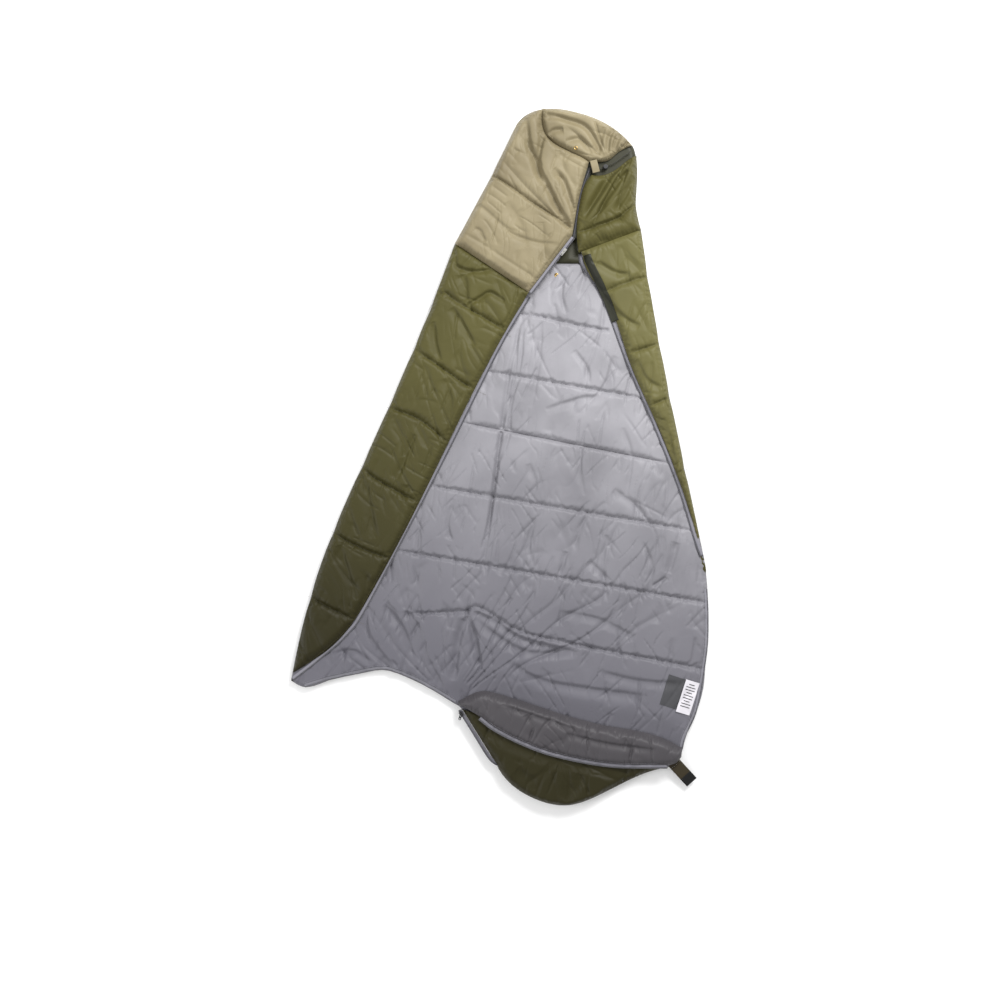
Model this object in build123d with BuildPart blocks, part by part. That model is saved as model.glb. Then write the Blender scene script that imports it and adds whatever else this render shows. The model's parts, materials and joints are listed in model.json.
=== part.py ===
"""A quilted mummy bag lying on its back with its front zip open, in millimetres.

The head is towards +Y and the toe towards -Y. The back panel rests on Z = 0. Two front flaps are
folded over it along the sides, the foot is still zipped shut, and the lower end of the right front
panel is turned down over the foot. Every padded panel is a shell, a fill and a lining.
"""
import os
from math import hypot

from build123d import *

os.makedirs("parts", exist_ok=True)

# Cloth and padding
SKIN = 1.5                  # a shell or lining with its stitching
LEFT_FLAP_PAD = 20.0        # padded panels, shell to lining
RIGHT_FLAP_PAD = 18.0
BACK_PAD = 22.0
HOOD_PAD = 19.5
FOOT_PAD = 14.0
FOOT_FLAP_PAD = 11.5
LAYER_GAP = 0.5             # between a flap and the panel it lies on
WALL = 8.0                  # the padded side walls of the hood and the foot
HEAD_ROOM = 12.0            # height of the flattened space inside the hood
FOOT_ROOM = 8.0             # and inside the foot

# Heights
FLAP_LOW = BACK_PAD + LAYER_GAP
HOOD_LOW = BACK_PAD + HEAD_ROOM
HOOD_TOP = HOOD_LOW + HOOD_PAD
FOOT_LOW = BACK_PAD + FOOT_ROOM
FOOT_TOP = FOOT_LOW + FOOT_PAD
FOOT_FLAP_LOW = FOOT_TOP + LAYER_GAP
FOOT_FLAP_TOP = FOOT_FLAP_LOW + FOOT_FLAP_PAD

# Zip
TAPE = 12.0                 # tape showing beside a panel's edge
TAPE_THICK = 1.2
COIL_WIDE = 5.0
COIL_HIGH = 3.0
SLIDER_LONG = 14.0
SLIDER_WALL = 1.6
SLIDER_PLAY = 0.4           # between a slider and the coil inside it
YOKE_TAPE = 43.4            # height of the yoke's tape, its underside
FOOT_TAPE = 25.4            # and of the foot's
BAIL_LONG, BAIL_WIDE, BAIL_WALL = 7.6, 3.0, 1.2
PULL_ROD = 1.0              # half the thickness of a pull and of the rod that it swings on
PULL_LIFT = 1.7             # rod's centre above the slider, and the bail's arch above that centre
PULL_LONG, PULL_WIDE, PULL_WINDOW, PULL_HOLE = 20.0, 8.0, 6.4, 2.0

# The outline, from the lower left corner clockwise
LEFT_CORNER = (-645, -690)
LEFT_SIDE = [LEFT_CORNER, (-620, -567), (-543, -304), (-403, 22), (-186, 533), (-140, 657)]
LEFT_HOOD = [(-140, 657), (-40, 843), (53, 1029)]
CROWN_ROUND = [(53, 1029), (95, 1063), (155, 1075), (235, 1064), (310, 1038), (372, 998), (412, 955)]
RIGHT_HOOD = [(412, 955), (423, 900), (422, 828), (436, 700)]
RIGHT_SIDE = [(436, 700), (468, 487), (502, 301), (539, 115), (605, -195), (636, -344)]
RIGHT_LOW = [(636, -344), (645, -500), (640, -610), (611, -778), (575, -862), (560, -920), (521, -958)]
FOOT_ROUND = [(521, -958), (416, -989), (303, -1045), (211, -1075), (102, -1053), (22, -998), (-11, -949)]
FOOT_SIDE = [(-118, -777), (-11, -949)]
LOWER_LEFT = [LEFT_CORNER, (-600, -712), (-527, -690), (-434, -670), (-357, -659), (-279, -685),
              (-217, -716), (-118, -777)]

# Seams and free edges inside the outline; a zip edge has its panel on the left of its direction
YOKE_SEAM = [(-140, 657), (88, 506)]
YOKE_ZIP = [(99, 499), (232, 673)]
THROAT_EDGE = [(222, 680), (226, 703), (239, 778), (251, 828), (274, 906)]
CROWN_SEAM = [(274, 906), (220, 936), (179, 956), (146, 983), (129, 1033), (133, 1073)]
CROWN_HEM = [(410, 958), (381, 946), (360, 933), (335, 912), (304, 906), (274, 906)]
THROAT_HEM = [(283, 868), (340, 874), (378, 900), (398, 916), (421, 926)]
LEFT_ZIP = [(-636, -690), (-558, -629), (-465, -546), (-397, -443), (-186, -40), (0, 332), (96, 494)]
RIGHT_ZIP = [(242, 624), (250, 588), (313, 487), (384, 301), (459, 127), (546, -90), (595, -248), (619, -314)]
FLAP_ZIP = [(-66, -808), (-19, -843), (68, -887), (174, -924), (338, -954), (521, -958)]
FLAP_FOLD = [(-60, -724), (562, -896)]

# Small fittings: place, and the way they point
TOP_SLIDER = 167.0          # along the yoke's zip from its lower end
BOTTOM_SLIDER = 12.0        # along the foot's zip from its open end
BOTTOM_PULL_WAY = (-0.2588, -0.9659)
TAB_HINGE, TAB_WAY, TAB_WIDE, TAB_LONG = (280, 888), (0.970, 0.242), 22.0, 38.0
STRAP_HINGE, STRAP_WAY, STRAP_WIDE = (542.5, -950), (0.6744, -0.7384), 40.0
STRAP_WEB, STRAP_TIP, STRAP_SEWN = 44.0, 30.0, 12.0
LABEL_HINGE, LABEL_WAY, LABEL_WIDE, LABEL_LONG = (600, -748), (-0.951, 0.309), 45.0, 104.0
PATCH_CENTRE, PATCH_WAY, PATCH_WIDE, PATCH_LONG = (532, -724), (-0.951, 0.309), 54.0, 96.0
CORD_LOCK, CORD_LOCK_LOW = (324, 890), 36.0
CORD_R = 1.5
CORD_HEIGHT = 47.0


def save(part, label):
    part.label = label
    export_step(part, f"parts/{label}.step")


def draw(run):
    """A straight edge through two points, or a smooth curve through more."""
    return Line(*run) if len(run) == 2 else Spline(*run)


def moved(run, distance):
    """The run's points moved sideways, to the left of its direction."""
    points = []
    for index, (x, y) in enumerate(run):
        before = run[max(index - 1, 0)]
        after = run[min(index + 1, len(run) - 1)]
        along_x, along_y = after[0] - before[0], after[1] - before[1]
        length = hypot(along_x, along_y)
        points.append((x - distance * along_y / length, y + distance * along_x / length))
    return points


def slab(label, runs, low, high):
    """A flat layer between two heights, inside a closed outline."""
    with BuildPart() as layer:
        with BuildSketch(Plane.XY.offset(low)):
            with BuildLine():
                for run in runs:
                    draw(run)
            make_face()
        extrude(amount=high - low)
    save(layer.part, label)


def band(label, runs, width, low, high):
    """A strip of constant width that follows open runs."""
    with BuildPart() as strip:
        with BuildSketch(Plane.XY.offset(low)):
            with BuildLine():
                for run in runs:
                    draw(run)
            trace(line_width=width)
        extrude(amount=high - low)
    save(strip.part, label)


def padded(name, runs, low, high, under="lining", over="shell"):
    """A quilted panel as its three layers."""
    slab(f"{name}_{under}", runs, low, low + SKIN)
    slab(f"{name}_fill", runs, low + SKIN, high - SKIN)
    slab(f"{name}_{over}", runs, high - SKIN, high)


def zip_edge(name, edge, low, tape=TAPE):
    """A tape inside a free edge, with its coil standing on it along the edge."""
    band(f"{name}_tape", [moved(edge, tape / 2)], tape, low, low + TAPE_THICK)
    coil_low = low + TAPE_THICK
    band(f"{name}_coil", [moved(edge, COIL_WIDE / 2)], COIL_WIDE, coil_low, coil_low + COIL_HIGH)


def flat_piece(label, start, way, length, width, low, thick):
    """A rectangle that runs from start along its way, centred on it."""
    with BuildPart() as piece:
        with BuildSketch(Plane(origin=(*start, low), x_dir=(*way, 0), z_dir=(0, 0, 1))):
            Rectangle(length, width, align=(Align.MIN, Align.CENTER))
        extrude(amount=thick)
    save(piece.part, label)


def along(line, distance):
    """The point at a distance along a straight two-point line, and the line's direction."""
    (x0, y0), (x1, y1) = line
    length = hypot(x1 - x0, y1 - y0)
    way = ((x1 - x0) / length, (y1 - y0) / length)
    return (x0 + distance * way[0], y0 + distance * way[1]), way


def slider(label, place, way, tape_low, bail_way):
    """A slider: a channel round the coil and the tape's edge, with a bail on top for its pull."""
    inner = COIL_WIDE + SLIDER_PLAY
    width = inner + SLIDER_PLAY + 2 * SLIDER_WALL
    slot_high = TAPE_THICK + COIL_HIGH + 2 * SLIDER_PLAY
    high = slot_high + 2 * SLIDER_WALL
    section = Plane(origin=(*place, tape_low), x_dir=(way[1], -way[0], 0), z_dir=(*way, 0))
    upwards = -1 if section.y_dir.Z < 0 else 1
    slot_middle = upwards * ((TAPE_THICK + COIL_HIGH) / 2)
    with BuildPart() as body:
        with BuildSketch(section):
            with Locations(((SLIDER_PLAY - inner) / 2, slot_middle)):
                Rectangle(width, high)
                Rectangle(inner + SLIDER_PLAY, slot_high, mode=Mode.SUBTRACT)
            with Locations((-inner - SLIDER_WALL / 2, upwards * TAPE_THICK / 2)):
                Rectangle(SLIDER_WALL * 2, TAPE_THICK + 2 * SLIDER_PLAY, mode=Mode.SUBTRACT)
        extrude(amount=SLIDER_LONG / 2, both=True)
        top = body.faces().sort_by(Axis.Z)[-1]
        bail_high = 2 * PULL_LIFT + BAIL_WALL
        centre = top.center()
        with BuildSketch(Plane(origin=centre, x_dir=(*bail_way, 0), z_dir=(0, 0, 1))):
            Rectangle(BAIL_LONG, BAIL_WIDE)
        extrude(amount=bail_high)
        with BuildSketch(Plane(origin=centre, x_dir=(*bail_way, 0), z_dir=(0, 0, 1))):
            Rectangle(BAIL_LONG - 2 * BAIL_WALL, BAIL_WIDE)
        extrude(amount=bail_high - BAIL_WALL, mode=Mode.SUBTRACT)
    save(body.part, label)
    return centre


def pull(label, slider_top, way):
    """A pull: a plate with a window that the bail passes through, swinging on the window's rod."""
    frame = Plane(origin=slider_top + Vector(0, 0, PULL_LIFT), x_dir=(*way, 0), z_dir=(0, 0, 1))
    with BuildPart() as plate:
        with BuildSketch(frame.offset(-PULL_ROD)):
            with Locations((PULL_LONG / 2 - PULL_ROD, 0)):
                RectangleRounded(PULL_LONG, PULL_WIDE, PULL_WIDE / 2 - 0.2)
            with Locations((PULL_WINDOW / 2 + PULL_ROD, 0)):
                Rectangle(PULL_WINDOW, BAIL_WIDE + 2, mode=Mode.SUBTRACT)
            with Locations((PULL_LONG - 2.5 * PULL_HOLE, 0)):
                Circle(PULL_HOLE, mode=Mode.SUBTRACT)
        extrude(amount=2 * PULL_ROD)
    save(plate.part, label)
    print(label, "swings about", [round(value / 1000, 5) for value in frame.origin])


# Back panel: the whole outline, lining up
padded("back", [LEFT_SIDE, LEFT_HOOD, CROWN_ROUND, RIGHT_HOOD, RIGHT_SIDE, RIGHT_LOW, FOOT_ROUND,
                FOOT_SIDE[::-1], LOWER_LEFT[::-1]], 0, BACK_PAD, under="shell", over="lining")
zip_edge("lower_left_zip", LOWER_LEFT[1:-1] + [(-140, -763)], BACK_PAD)
zip_edge("right_side_zip", [(565, -900), (575, -862), (611, -778), (640, -610), (645, -500),
                            (641, -400)], BACK_PAD)

# Hood: a padded wall round the head, one lining, and three outer panels with the face slit between
band("hood_gusset", [moved(run, -WALL / 2) for run in (LEFT_HOOD, CROWN_ROUND, RIGHT_HOOD)],
     WALL, BACK_PAD, HOOD_LOW)
PANEL_CORNER = (222, 680)
slab("hood_lining", [LEFT_HOOD, CROWN_ROUND, RIGHT_HOOD, [(436, 700), (242, 628)], [(242, 628), PANEL_CORNER],
                     [PANEL_CORNER, YOKE_SEAM[1]], YOKE_SEAM[::-1]], HOOD_LOW, HOOD_LOW + SKIN)
HOOD_PANELS = {
    "yoke_left": [LEFT_HOOD, [(53, 1029), (90, 1060), (133, 1073)], CROWN_SEAM[::-1], THROAT_EDGE[::-1],
                  [PANEL_CORNER, YOKE_SEAM[1]], YOKE_SEAM[::-1]],
    "crown": [[(133, 1073), (155, 1075), (235, 1064), (310, 1038), (372, 998), (410, 958)], CROWN_HEM,
              CROWN_SEAM],
    "throat_right": [THROAT_HEM, [(421, 926), (423, 900), (422, 828), (436, 700)], [(436, 700), (242, 628)],
                     [(242, 628), (236, 703), (245, 778), (257, 828), (283, 868)]],
}
for name, runs in HOOD_PANELS.items():
    slab(f"{name}_fill", runs, HOOD_LOW + SKIN, HOOD_TOP - SKIN)
    slab(f"{name}_shell", runs, HOOD_TOP - SKIN, HOOD_TOP)
zip_edge("yoke_zip", YOKE_ZIP, YOKE_TAPE)

# Foot: a wall round the toe, a padded front that is open along its mouth, and the closed zip
band("foot_gusset", [moved([(500, -964)] + FOOT_ROUND[1:], -WALL / 2), moved(FOOT_SIDE, WALL / 2)], WALL, BACK_PAD, FOOT_LOW)
padded("foot_front", [FOOT_ROUND, FOOT_SIDE[::-1], [(-118, -777), (521, -958)]], FOOT_LOW, FOOT_TOP)
FOOT_ZIP = moved(FOOT_SIDE, -TAPE - LAYER_GAP)
zip_edge("foot_zip", FOOT_ZIP, FOOT_TAPE)

# Left front flap, folded over the back along the left side
LEFT_PANEL_EDGE = moved(LEFT_ZIP, TAPE)[1:-1]
padded("left_front", [[(-640, -668), (-620, -567), (-543, -304), (-403, 22), (-186, 533), (-142, 652)],
                      [(-142, 652), (86, 500)], [(86, 500)] + LEFT_PANEL_EDGE[::-1],
                      [LEFT_PANEL_EDGE[0], (-640, -668)]], FLAP_LOW, FLAP_LOW + LEFT_FLAP_PAD)
zip_edge("left_zip", LEFT_ZIP, FLAP_LOW)

# Right front flap, with the dark placket beside its zip
RIGHT_PANEL_EDGE = moved(RIGHT_ZIP, TAPE)[:-1]
padded("right_front", [[(437, 696), (468, 487), (502, 301), (539, 115), (605, -195), (631, -320)],
                       [(631, -320), RIGHT_PANEL_EDGE[-1]], RIGHT_PANEL_EDGE[::-1],
                       [RIGHT_PANEL_EDGE[0], (437, 696)]], FLAP_LOW, FLAP_LOW + RIGHT_FLAP_PAD)
zip_edge("right_zip", RIGHT_ZIP, FLAP_LOW)
band("right_placket", [moved([(254, 618), (262, 592), (313, 487), (346, 402)], 14)], 22,
     FLAP_LOW + RIGHT_FLAP_PAD, FLAP_LOW + RIGHT_FLAP_PAD + SKIN)

# Flap turned down over the foot, lining up
FLAP_PANEL_EDGE = moved(FLAP_ZIP, TAPE)
padded("foot_flap", [FLAP_FOLD, [FLAP_FOLD[1], (558, -920), (542, -942), FLAP_PANEL_EDGE[-1]],
                     FLAP_PANEL_EDGE[::-1], [FLAP_PANEL_EDGE[0], (-84, -766), FLAP_FOLD[0]]],
       FOOT_FLAP_LOW, FOOT_FLAP_TOP, under="shell", over="lining")
zip_edge("foot_flap_zip", FLAP_ZIP, FOOT_FLAP_LOW + 4)

# Sliders and their pulls
top_place, yoke_way = along(YOKE_ZIP, TOP_SLIDER)
down_the_yoke = (-yoke_way[0], -yoke_way[1])
pull("top_pull", slider("top_slider", top_place, yoke_way, YOKE_TAPE, down_the_yoke), down_the_yoke)
bottom_place, foot_way = along(FOOT_ZIP, BOTTOM_SLIDER)
bottom_top = slider("bottom_slider", bottom_place, foot_way, FOOT_TAPE, BOTTOM_PULL_WAY)
pull("bottom_pull", bottom_top, BOTTOM_PULL_WAY)
print("top slider runs along", down_the_yoke, "bottom slider along", foot_way)

# Face cord with its lock, and the eyelet in the crown's seam
LOCK_R, LOCK_HIGH, LOCK_FLOOR, LOCK_BORE = 7.5, 15.0, 1.5, 4.7
PLUNGER_R, LOCK_TRAVEL, CAP_R, CAP_HIGH = 4.6, 2.5, 6.8, 2.4
SPRING_R, SPRING_HIGH, WIRE = 3.6, 5.0, 0.6
LOCK_TOP = CORD_LOCK_LOW + LOCK_HIGH
SLIT_WAY = (0.9063, 0.4226)
with BuildPart() as cord_lock_body:
    with BuildSketch(Plane.XY.offset(CORD_LOCK_LOW)):
        with Locations(CORD_LOCK):
            Circle(LOCK_R)
    extrude(amount=LOCK_HIGH)
    fillet(cord_lock_body.edges().sort_by(Axis.Z)[0], 1.0)
    with BuildSketch(Plane.XY.offset(CORD_LOCK_LOW + LOCK_FLOOR)):
        with Locations(CORD_LOCK):
            Circle(LOCK_BORE)
    extrude(amount=LOCK_HIGH, mode=Mode.SUBTRACT)
    with BuildSketch(Plane(origin=(*CORD_LOCK, CORD_HEIGHT), z_dir=(*SLIT_WAY, 0))):
        Circle(CORD_R + 0.7)
    extrude(amount=2 * LOCK_R, both=True, mode=Mode.SUBTRACT)
save(cord_lock_body.part, "cord_lock_body")

spring_low = CORD_LOCK_LOW + LOCK_FLOOR
with BuildPart() as cord_lock_spring:
    with BuildSketch(Plane.XY.offset(spring_low)):
        with Locations(CORD_LOCK):
            Circle(SPRING_R)
            Circle(SPRING_R - WIRE, mode=Mode.SUBTRACT)
    extrude(amount=SPRING_HIGH)
save(cord_lock_spring.part, "cord_lock_spring")

plunger_low = spring_low + SPRING_HIGH
plunger_top = LOCK_TOP + LOCK_TRAVEL + 0.1
with BuildPart() as cord_lock_button:
    with BuildSketch(Plane.XY.offset(plunger_low)):
        with Locations(CORD_LOCK):
            Circle(PLUNGER_R)
    extrude(amount=plunger_top - plunger_low)
    with BuildSketch(Plane.XY.offset(plunger_top)):
        with Locations(CORD_LOCK):
            Circle(CAP_R)
    extrude(amount=CAP_HIGH)
    fillet(cord_lock_button.edges().sort_by(Axis.Z)[-1], 0.8)
    slot_low = CORD_HEIGHT - CORD_R - 0.3
    slot_high = CORD_HEIGHT + CORD_R + 0.3 + LOCK_TRAVEL
    with BuildSketch(Plane(origin=(*CORD_LOCK, (slot_low + slot_high) / 2),
                           x_dir=(-SLIT_WAY[1], SLIT_WAY[0], 0), z_dir=(*SLIT_WAY, 0))):
        Rectangle(2 * CORD_R + 1.0, slot_high - slot_low)
    extrude(amount=2 * LOCK_R, both=True, mode=Mode.SUBTRACT)
save(cord_lock_button.part, "cord_lock_button")

with BuildPart() as drawcord:
    with BuildLine() as cord_path:
        lock_x, lock_y = CORD_LOCK
        FilletPolyline((lock_x - 32 * SLIT_WAY[0], lock_y - 32 * SLIT_WAY[1] + 4, CORD_HEIGHT),
                       (lock_x - 14 * SLIT_WAY[0], lock_y - 14 * SLIT_WAY[1], CORD_HEIGHT),
                       (lock_x + 30 * SLIT_WAY[0], lock_y + 30 * SLIT_WAY[1], CORD_HEIGHT),
                       (380, 923, CORD_HEIGHT), (402, 938, CORD_HEIGHT), radius=15)
    with BuildSketch(Plane(origin=cord_path.line @ 0, z_dir=cord_path.line % 0)):
        Circle(CORD_R)
    sweep()
save(drawcord.part, "drawcord")

with BuildPart() as drawcord_eyelet:
    with BuildSketch(Plane.XY.offset(HOOD_TOP)):
        with Locations((232, 945)):
            Circle(6.0)
            Circle(3.0, mode=Mode.SUBTRACT)
    extrude(amount=1.0)
    fillet(drawcord_eyelet.edges().sort_by(Axis.Z)[-1], 0.4)
save(drawcord_eyelet.part, "drawcord_eyelet")

with BuildPart() as throat_snap:
    with BuildSketch(Plane.XY.offset(BACK_PAD)):
        with Locations((174, 561)):
            Circle(6.5)
    extrude(amount=2.4)
    fillet(throat_snap.edges().sort_by(Axis.Z)[-1], 1.5)
save(throat_snap.part, "throat_snap")

# Cloth trim: throat tab, hanging strap, dark patch and care label
flat_piece("throat_tab", TAB_HINGE, TAB_WAY, TAB_WIDE, TAB_LONG, HOOD_TOP + 0.4, SKIN)
strap_low = BACK_PAD + 0.3
sewn_start = (STRAP_HINGE[0] - STRAP_SEWN * STRAP_WAY[0], STRAP_HINGE[1] - STRAP_SEWN * STRAP_WAY[1])
web_start = (STRAP_HINGE[0] + 0.5 * STRAP_WAY[0], STRAP_HINGE[1] + 0.5 * STRAP_WAY[1])
tip_start = (web_start[0] + STRAP_WEB * STRAP_WAY[0], web_start[1] + STRAP_WEB * STRAP_WAY[1])
flat_piece("hang_strap_anchor", sewn_start, STRAP_WAY, STRAP_SEWN, STRAP_WIDE, strap_low, 2.0)
flat_piece("hang_strap", web_start, STRAP_WAY, STRAP_WEB, STRAP_WIDE, strap_low, 2.0)
flat_piece("hang_strap_tip", tip_start, STRAP_WAY, STRAP_TIP, STRAP_WIDE, strap_low, 2.0)
patch_start = (PATCH_CENTRE[0] - PATCH_WAY[0] * PATCH_WIDE / 2, PATCH_CENTRE[1] - PATCH_WAY[1] * PATCH_WIDE / 2)
flat_piece("label_patch", patch_start, PATCH_WAY, PATCH_WIDE, PATCH_LONG, BACK_PAD, 0.8)
flat_piece("care_label", LABEL_HINGE, LABEL_WAY, LABEL_WIDE, LABEL_LONG, BACK_PAD + 1.3, 0.8)
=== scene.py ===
import json
import math

import bpy
import numpy as np
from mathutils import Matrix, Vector, geometry, kdtree


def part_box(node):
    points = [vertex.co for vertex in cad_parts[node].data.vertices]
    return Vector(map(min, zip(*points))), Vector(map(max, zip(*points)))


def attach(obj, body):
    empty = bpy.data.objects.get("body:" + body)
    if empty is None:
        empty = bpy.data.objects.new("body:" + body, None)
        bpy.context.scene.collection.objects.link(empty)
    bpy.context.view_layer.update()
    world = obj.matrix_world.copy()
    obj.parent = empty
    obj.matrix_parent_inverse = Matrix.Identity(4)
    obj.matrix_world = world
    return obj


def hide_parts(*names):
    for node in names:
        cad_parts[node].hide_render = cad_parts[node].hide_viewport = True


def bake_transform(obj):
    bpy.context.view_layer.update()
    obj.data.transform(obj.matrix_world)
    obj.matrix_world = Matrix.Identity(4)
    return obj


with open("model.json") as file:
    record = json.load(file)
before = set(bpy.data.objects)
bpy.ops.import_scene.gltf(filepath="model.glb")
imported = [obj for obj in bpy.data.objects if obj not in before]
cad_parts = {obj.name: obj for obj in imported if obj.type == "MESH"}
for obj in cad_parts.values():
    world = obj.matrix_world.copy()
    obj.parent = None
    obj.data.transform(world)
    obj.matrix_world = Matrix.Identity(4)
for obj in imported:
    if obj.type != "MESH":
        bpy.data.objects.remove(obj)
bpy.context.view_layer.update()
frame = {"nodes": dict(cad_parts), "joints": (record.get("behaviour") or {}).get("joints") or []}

# A quilted mummy bag lying open on its back. Lengths are metres in the CAD frame: +Y to the head, +Z up.
# Each panel is laid out flat inside its CAD outline, shaped as a pad and settled by a small cloth solver.

GRID = 0.0066        # cloth grid before the last refinement
STEPS = 150             # solver steps per panel
SEED = 7

# Heights, from the CAD layers
FLAP_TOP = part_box("left_front_shell")[1].z
HOOD_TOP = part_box("crown_shell")[1].z
FOOT_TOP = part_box("foot_front_shell")[1].z
FOOT_FLAP_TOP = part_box("foot_flap_lining")[1].z


# ---------------------------------------------------------------- curves and outlines

def outline_of(node):
    """A node's plan outline, anticlockwise, from the border of its top face."""
    mesh = frame["nodes"][node].data
    co = np.array([v.co for v in mesh.vertices])
    top = co[:, 2].max() - 1e-5
    sides = {}
    for face in mesh.polygons:
        if all(co[i, 2] > top for i in face.vertices):
            names = [tuple(np.round(co[i, :2], 6)) for i in face.vertices]
            for a, b in zip(names, names[1:] + names[:1]):
                sides.setdefault(frozenset((a, b)), []).append((a, b))
    after = {pairs[0][0]: pairs[0][1] for pairs in sides.values() if len(pairs) == 1}
    loop = [min(after)]
    while after[loop[-1]] != loop[0]:
        loop.append(after[loop[-1]])
    return np.array(loop)


def spaced(points, spacing):
    """Points at even spacing along an open line, its two ends kept."""
    points = np.asarray(points, float)
    steps = np.linalg.norm(np.diff(points, axis=0), axis=1)
    total = np.concatenate([[0], np.cumsum(steps)])
    count = max(1, round(total[-1] / spacing))
    at = np.linspace(0, total[-1], count + 1)
    return np.stack([np.interp(at, total, points[:, k]) for k in range(points.shape[1])], 1)


def spaced_loop(loop, spacing, corner=math.radians(28)):
    """A closed loop at even spacing, with its sharp corners kept."""
    before, after = loop - np.roll(loop, 1, 0), np.roll(loop, -1, 0) - loop
    turn = np.arctan2(before[:, 0] * after[:, 1] - before[:, 1] * after[:, 0], (before * after).sum(1))
    corners = np.nonzero(np.abs(turn) > corner)[0]
    if len(corners) == 0:
        corners = np.array([0])
    pieces = []
    for start, end in zip(corners, np.roll(corners, -1)):
        stop = end if end > start else end + len(loop)
        run = loop[np.arange(start, stop + 1) % len(loop)]
        pieces.append(spaced(run, spacing)[:-1])
    return np.concatenate(pieces)


def smooth_line(points, spacing=0.005):
    """A Catmull-Rom curve through given points."""
    p = np.asarray(points, float)
    if len(p) == 2:
        return spaced(p, spacing)
    p = np.vstack([2 * p[0] - p[1], p, 2 * p[-1] - p[-2]])
    t = np.linspace(0, 1, 24, endpoint=False)[:, None]
    out = []
    for a, b, c, d in zip(p, p[1:], p[2:], p[3:]):
        out.append(0.5 * (2 * b + (c - a) * t + (2 * a - 5 * b + 4 * c - d) * t ** 2
                          + (3 * b - a - 3 * c + d) * t ** 3))
    return spaced(np.vstack(out + [p[-2:-1]]), spacing)


def inside(points, loop):
    """Which points lie inside a closed loop."""
    x, y = points[:, 0], points[:, 1]
    result = np.zeros(len(points), bool)
    for (x0, y0), (x1, y1) in zip(loop, np.roll(loop, -1, 0)):
        crosses = (y0 > y) != (y1 > y)
        if crosses.any():
            at = x0 + (y[crosses] - y0) / (y1 - y0) * (x1 - x0)
            result[crosses] ^= x[crosses] < at
    return result


def nearest(points, targets):
    """Distance from each point to the nearest target, and that target's index."""
    targets = np.asarray(targets)
    tree = kdtree.KDTree(len(targets))
    for index, target in enumerate(targets):
        tree.insert((target[0], target[1], 0), index)
    tree.balance()
    found = [tree.find((x, y, 0)) for x, y in points[:, :2]]
    return np.array([f[2] for f in found]), np.array([f[1] for f in found])


def smoothstep(x):
    x = np.clip(x, 0, 1)
    return x * x * (3 - 2 * x)


def cross(a, b):
    return a[:, 0] * b[:, 1] - a[:, 1] * b[:, 0]


def left_of(ways):
    """Each direction turned a quarter to its left."""
    return np.stack([-ways[:, 1], ways[:, 0]], 1)


def unit(ways):
    return ways / np.linalg.norm(ways, axis=1)[:, None]


def side_of(points, start, end):
    """Signed distance from the line through start and end; positive on its left."""
    way = np.subtract(end, start) / np.linalg.norm(np.subtract(end, start))
    return (points[:, 1] - start[1]) * way[0] - (points[:, 0] - start[0]) * way[1]


# ---------------------------------------------------------------- cloth

def lay_out(loop, seams, spacing, rng, coarse=None):
    """A flat triangle mesh inside a loop whose edges run along the seams, thinner where coarse says."""
    border = spaced_loop(loop, spacing)
    points = [border]
    edges = [(i, (i + 1) % len(border)) for i in range(len(border))]
    taken = border
    total = len(border)
    for seam in seams:
        chain = spaced(smooth_line(seam), spacing)
        chain = chain[inside(chain, loop)]
        if len(chain) < 2:
            continue
        chain = chain[nearest(chain, taken)[0] > 0.62 * spacing]
        gaps = np.linalg.norm(np.diff(chain, axis=0), axis=1)
        edges += [(total + i, total + i + 1) for i, gap in enumerate(gaps) if gap < 1.5 * spacing]
        points.append(chain)
        taken = np.vstack([taken, chain])
        total += len(chain)
    low, high = loop.min(0), loop.max(0)
    rows = np.arange(low[1], high[1], spacing * 0.866)
    grid = []
    for k, y in enumerate(rows):
        across = np.arange(low[0] + (k % 2) * spacing / 2, high[0], spacing)
        grid.append(np.stack([across, np.full(len(across), y)], 1))
    odd = np.concatenate([(np.arange(len(row)) + k) % 2 + k // 2 % 2 for k, row in enumerate(grid)])
    grid = np.concatenate(grid)
    if coarse is not None:
        grid = grid[(odd == 0) | ~coarse(grid)]
    grid += rng.uniform(-0.16, 0.16, grid.shape) * spacing
    grid = grid[inside(grid, loop)]
    grid = grid[nearest(grid, taken)[0] > 0.72 * spacing]
    points.append(grid)
    points = np.concatenate(points)
    laid = geometry.delaunay_2d_cdt([Vector(p) for p in points], edges, [], 0, 1e-7)
    points = np.array([tuple(v) for v in laid[0]])
    tris = np.array([f for f in laid[2] if len(f) == 3])
    tris = tris[inside(points[tris].mean(1), border)]
    area = cross(points[tris[:, 1]] - points[tris[:, 0]], points[tris[:, 2]] - points[tris[:, 0]])
    tris = tris[np.abs(area) > 1e-9]
    area = area[np.abs(area) > 1e-9]
    tris[area < 0] = tris[area < 0][:, ::-1]
    used, back = np.unique(tris, return_inverse=True)
    return points[used], back.reshape(tris.shape)


def edges_of(tris):
    """Unique edges, with the corners opposite each one (-1 where the edge is on the border)."""
    pairs = np.concatenate([tris[:, [0, 1]], tris[:, [1, 2]], tris[:, [2, 0]]])
    opposite = np.concatenate([tris[:, 2], tris[:, 0], tris[:, 1]])
    pairs.sort(axis=1)
    unique, where = np.unique(pairs, axis=0, return_inverse=True)
    where = where.ravel()
    order = np.argsort(where, kind="stable")
    first = np.searchsorted(where[order], np.arange(len(unique)))
    count = np.bincount(where, minlength=len(unique))
    across = np.full((len(unique), 2), -1)
    across[:, 0] = opposite[order[first]]
    twice = count > 1
    across[twice, 1] = opposite[order[first[twice] + 1]]
    return unique, across, where


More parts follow.
